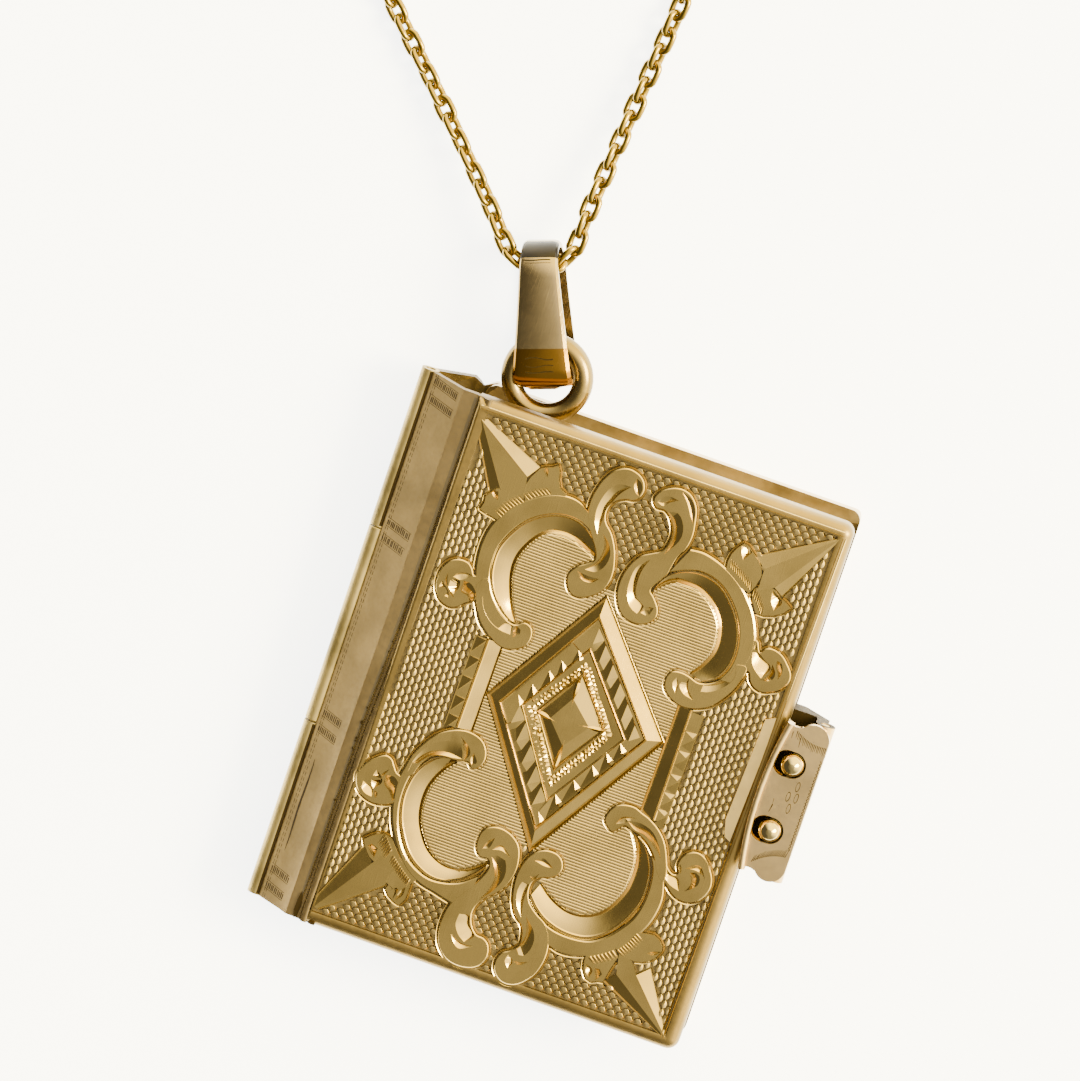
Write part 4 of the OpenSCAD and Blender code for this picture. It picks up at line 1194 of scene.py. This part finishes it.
# Spine marks: hatch bands between edge lines, dotted lines, slanted hatch, split, pits and a stain
MARK_LIFT = 0.004
BAND_SLANT = 0.12
JOINT_Z = 4.635
marks = Shape()


def spine_stroke(shape, px, y, half, lift=MARK_LIFT):
    """A thin stroke along the spine's surface."""
    sides = [px + way * half + np.zeros(len(y)) for way in (-1, 1)]
    shape.strips([np.c_[side, y, on_spine(side) + lift] for side in sides])


for band_y in (13.65, 12.75, 6.15, 5.3, -4.1, -4.95, -12.5, -13.4):
    for px in np.arange(-12.12, -10.8, 0.1):
        px = px + rng.normal(0, 0.008)
        middle = band_y - BAND_SLANT * (px + 11.5)
        spine_stroke(marks, px, middle + np.array([-0.15, 0, 0.15 + rng.normal(0, 0.02)]), 0.028)
    px = np.linspace(-12.2, -10.75, 14)
    for off in (-0.21, 0.21):
        line_y = band_y + off - BAND_SLANT * (px + 11.5)
        marks.strips([np.c_[px, line_y + way * 0.014, on_spine(px) + MARK_LIFT] for way in (-1, 1)])
for px in (-12.14, -12.03):
    for y in np.arange(-14.0, 14.0, 0.3):
        spine_stroke(marks, px, np.array([y, y + 0.2]), 0.014)
for y in np.arange(-12.0, 12.6, 0.09):
    a, b = leaned(-9.74, y), leaned(-9.64, y)
    marks.strips([np.array([(a, y, JOINT_Z), (a, y + 0.03, JOINT_Z)]),
                  np.array([(b, y + 0.06, JOINT_Z + 0.005), (b, y + 0.09, JOINT_Z + 0.005)])])
marks.piece("spine_marks", DARK, smooth=20)

# A flat grey strip along the groove between spine and cover: painted shade in place of the groove's shaded
# wall
groove = Shape()
groove.strips([np.array([(leaned(px, y), y, 4.546) for y in np.linspace(-14.0, 13.9, 30)])
               for px in (-9.98, -9.84)])
groove.piece("spine_groove_shade", GREY_GOLD, smooth=60)

# Painted shade in the gap beside each outer knuckle
GAP_R = 0.457
gap_shade = Shape()
for ends in ((5.8, 14.05), (-14.05, -4.85)):
    gap_shade.strips([np.array([(HINGE_X + GAP_R * math.cos(a), y, HINGE_Z + GAP_R * math.sin(a)) for y in ends])
                 for a in np.radians((50, 62, 74, 84))])
gap_shade.piece("spine_gap_shade", DARK, "back", smooth=60)

split = Shape()
share = np.linspace(0, 1, 16)
half = 0.05 * np.sin(0.05 + (math.pi - 0.1) * share) ** 0.6
spine_stroke(split, -11.8 + 0.02 * np.sin(9 * share), -6.35 - 4.95 * share, half, 0.006)
angles = np.linspace(0, TURN, 10, endpoint=False)
for py, size in ((0.9, 0.04), (0.35, 0.035), (-0.5, 0.035), (-2.7, 0.05), (-3.5, 0.09), (-4.35, 0.06),
                 (-4.5, 0.04), (-4.9, 0.05), (-7.7, 0.06)):
    px = leaned(-9.86, py) + abs(rng.normal(0, 0.03))
    pit = [(px + size * math.cos(a), py + size * 1.2 * math.sin(a), 4.64) for a in angles]
    split.add(pit, [tuple(range(10))])
stain_x, stain_y = leaned(-9.95, -13.4), -13.4
stain = [(stain_x + dx, stain_y + dy, 4.66) for dx, dy in
         ((0, -0.7), (0.12, -0.6), (0.2, 0.0), (0.1, 0.5), (0.0, 0.75), (-0.08, 0.3), (-0.1, -0.3))]
split.add(stain, [tuple(range(7))])
split.piece("spine_split", DARK, smooth=20)

# Chain of oval links along part.scad's route, in metres: across, along and up from the bail
ROUTE = [(0.00004, 0.006, 0.00195), (0.0009, 0.00602, 0.00195), (0.0015, 0.0065, 0.00195),
         (0.0019, 0.0073, 0.0019), (0.0025, 0.0088, 0.0017), (0.0036, 0.0112, 0.0013),
         (0.005, 0.0142, 0.00085), (0.0068, 0.018, 0.00058), (0.0096, 0.024, 0.00053),
         (0.0143, 0.034, 0.00053), (0.022, 0.0505, 0.00053), (0.031, 0.0697, 0.00053),
         (0.0405, 0.09, 0.00053), (0.0483, 0.1065, 0.00053), (0.0532, 0.119, 0.00053),
         (0.0551, 0.133, 0.00053), (0.0528, 0.149, 0.00053), (0.0451, 0.165, 0.00053),
         (0.0324, 0.178, 0.00053), (0.0155, 0.1864, 0.00053), (0.0029, 0.1881, 0.00053)]
PITCH = 0.9
WIRE = 0.162
LINK_LONG = 0.25
LINK_ROUND = 0.37
LINK_POINTS = 20
LINK_SIDES = 10
LINK_ROLLS = (-26, 64)


def link_mesh():
    """One oval link: its points and its faces."""
    a = np.arange(LINK_POINTS) * TURN / LINK_POINTS
    long_half = LINK_LONG * np.sign(np.round(np.cos(a), 6))
    line = np.stack([LINK_ROUND * np.cos(a) + long_half, LINK_ROUND * np.sin(a), 0 * a], 1)
    ahead = unit(np.roll(line, -1, axis=0) - np.roll(line, 1, axis=0))
    out = np.stack([ahead[:, 1], -ahead[:, 0], 0 * a], 1)[:, None]
    b = (np.arange(LINK_SIDES) * TURN / LINK_SIDES)[None, :, None]
    points = line[:, None] + WIRE * (out * np.cos(b) + np.array([0, 0, 1]) * np.sin(b))
    return points.reshape(-1, 3), quads(LINK_POINTS, LINK_SIDES, ring=True, loop=True)


def chain(side, name, node):
    """Links along one half of the route, which is -1 for the left and 1 for the right."""
    path = curved(np.array([bail_place(s, side * w, z) for w, s, z in np.array(ROUTE) / MM]), 4000)
    run = np.r_[0, np.cumsum(lengths(path))]
    count = int(run[-1] / PITCH)
    points, faces = link_mesh()
    shape = Shape()

    def along(place):
        return np.array([np.interp(place, run, path[:, i]) for i in range(3)])

    for k in range(count):
        place = (k + 0.5) * run[-1] / count
        ahead = unit(along(place + 0.2) - along(place - 0.2))
        across = unit(np.cross((0, 0, 1), ahead))
        roll = math.radians(LINK_ROLLS[k % 2] + rng.normal(0, 6))
        wide = across * math.cos(roll) + np.cross(ahead, across) * math.sin(roll)
        shape.add(along(place) + points @ np.stack([ahead, wide, np.cross(ahead, wide)]), faces)
    piece = shape.piece(name, CHAIN_GOLD, "back", "chain_gold", smooth=60)
    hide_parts(node)


chain(-1, "chain_left_links", "chain_left")
chain(1, "chain_right_links", "chain_right")

# Floor
bpy.ops.mesh.primitive_plane_add(size=3.0, location=(0, 0.07, -0.00002))
floor = bpy.context.object
floor.name = "floor"
paper = bpy.data.materials.new("paper")
paper.use_nodes = True
feed(paper.node_tree, paper.node_tree.nodes["Principled BSDF"], {
    "Base Color": (0.93, 0.93, 0.935, 1), "Roughness": 0.9,
    "Emission Color": (0.93, 0.97, 1.0, 1), "Emission Strength": 5.0})
floor.data.materials.append(paper)

# Camera: direction from the locket, turn of the picture, the point looked at, and how far off it is
CAM_WAY = np.array([0.0508, 0.226, 1.0])
CAM_ROLL = 0.3265
CAM_TARGET = np.array([-4.65, 8.055, 4.0])
CAM_FAR = 500.0
FOCAL_PIXELS, FRAME_PIXELS, SENSOR = 10143.0, 1081, 36
back = CAM_WAY / np.linalg.norm(CAM_WAY)
right = np.cross((0, 1, 0), back)
right /= np.linalg.norm(right)
up = np.cross(back, right)
cam_x = math.cos(CAM_ROLL) * right + math.sin(CAM_ROLL) * up
cam_y = -math.sin(CAM_ROLL) * right + math.cos(CAM_ROLL) * up
cam_data = bpy.data.cameras.new("camera")
cam_data.lens = FOCAL_PIXELS * SENSOR / FRAME_PIXELS
cam_data.sensor_width = SENSOR
cam_data.clip_start = 0.05
cam_data.clip_end = 10
camera = bpy.data.objects.new("camera", cam_data)
bpy.context.scene.collection.objects.link(camera)
spot = (CAM_TARGET + back * CAM_FAR) * MM
camera.matrix_world = Matrix([*zip(cam_x, cam_y, back, spot), (0, 0, 0, 1)])
bpy.context.scene.camera = camera

# Sky: an even light from the upper right with one strong warm patch in it
world = bpy.data.worlds.new("studio")
bpy.context.scene.world = world
world.use_nodes = True
sky = world.node_tree
sky_way = add(sky, "ShaderNodeTexCoord").outputs["Generated"]


def glow(direction, low, high, power):
    """Light that grows along a direction of the sky."""
    along = add(sky, "ShaderNodeVectorMath", {0: sky_way, 1: direction}, operation="DOT_PRODUCT")
    span = add(sky, "ShaderNodeMapRange", {
        "Value": along.outputs["Value"], "From Min": low, "From Max": high})
    return maths(sky, "POWER", span.outputs[0], power)


EVERYWHERE, PLAIN_GAIN, PATCH_GAIN = 0.24, 0.55, 8.5
plain = glow((0.95, 0.3, 0.0), -0.50, -0.12, 2.0)
patch = glow((0.65, 0.76, 0.0), -0.26, 0.5, 1.8)
light = maths(sky, "ADD", maths(sky, "MULTIPLY", plain, PLAIN_GAIN),
              maths(sky, "MULTIPLY", patch, PATCH_GAIN))
tint = add(sky, "ShaderNodeMix", {
    "Factor": patch, "A": (1.0, 0.97, 0.92, 1), "B": (1.0, 0.82, 0.24, 1)}, data_type="RGBA")
feed(sky, sky.nodes["Background"], {
    "Color": tint.outputs["Result"], "Strength": maths(sky, "ADD", light, EVERYWHERE)})


def lamp(name, way, far, size, watts, colour):
    """A round lamp at a distance in metres along a direction."""
    light = bpy.data.lights.new(name, "AREA")
    light.shape = "DISK"
    light.size = size
    light.energy = watts
    light.color = colour
    obj = bpy.data.objects.new(name, light)
    bpy.context.scene.collection.objects.link(obj)
    way = Vector(way).normalized()
    obj.location = way * far + Vector((0, 0.01, 0))
    obj.rotation_euler = way.to_track_quat("Z", "Y").to_euler()


lamp("key", (0.78, 0.30, 0.62), 0.9, 0.42, 34.0, (1.0, 0.9, 0.6))
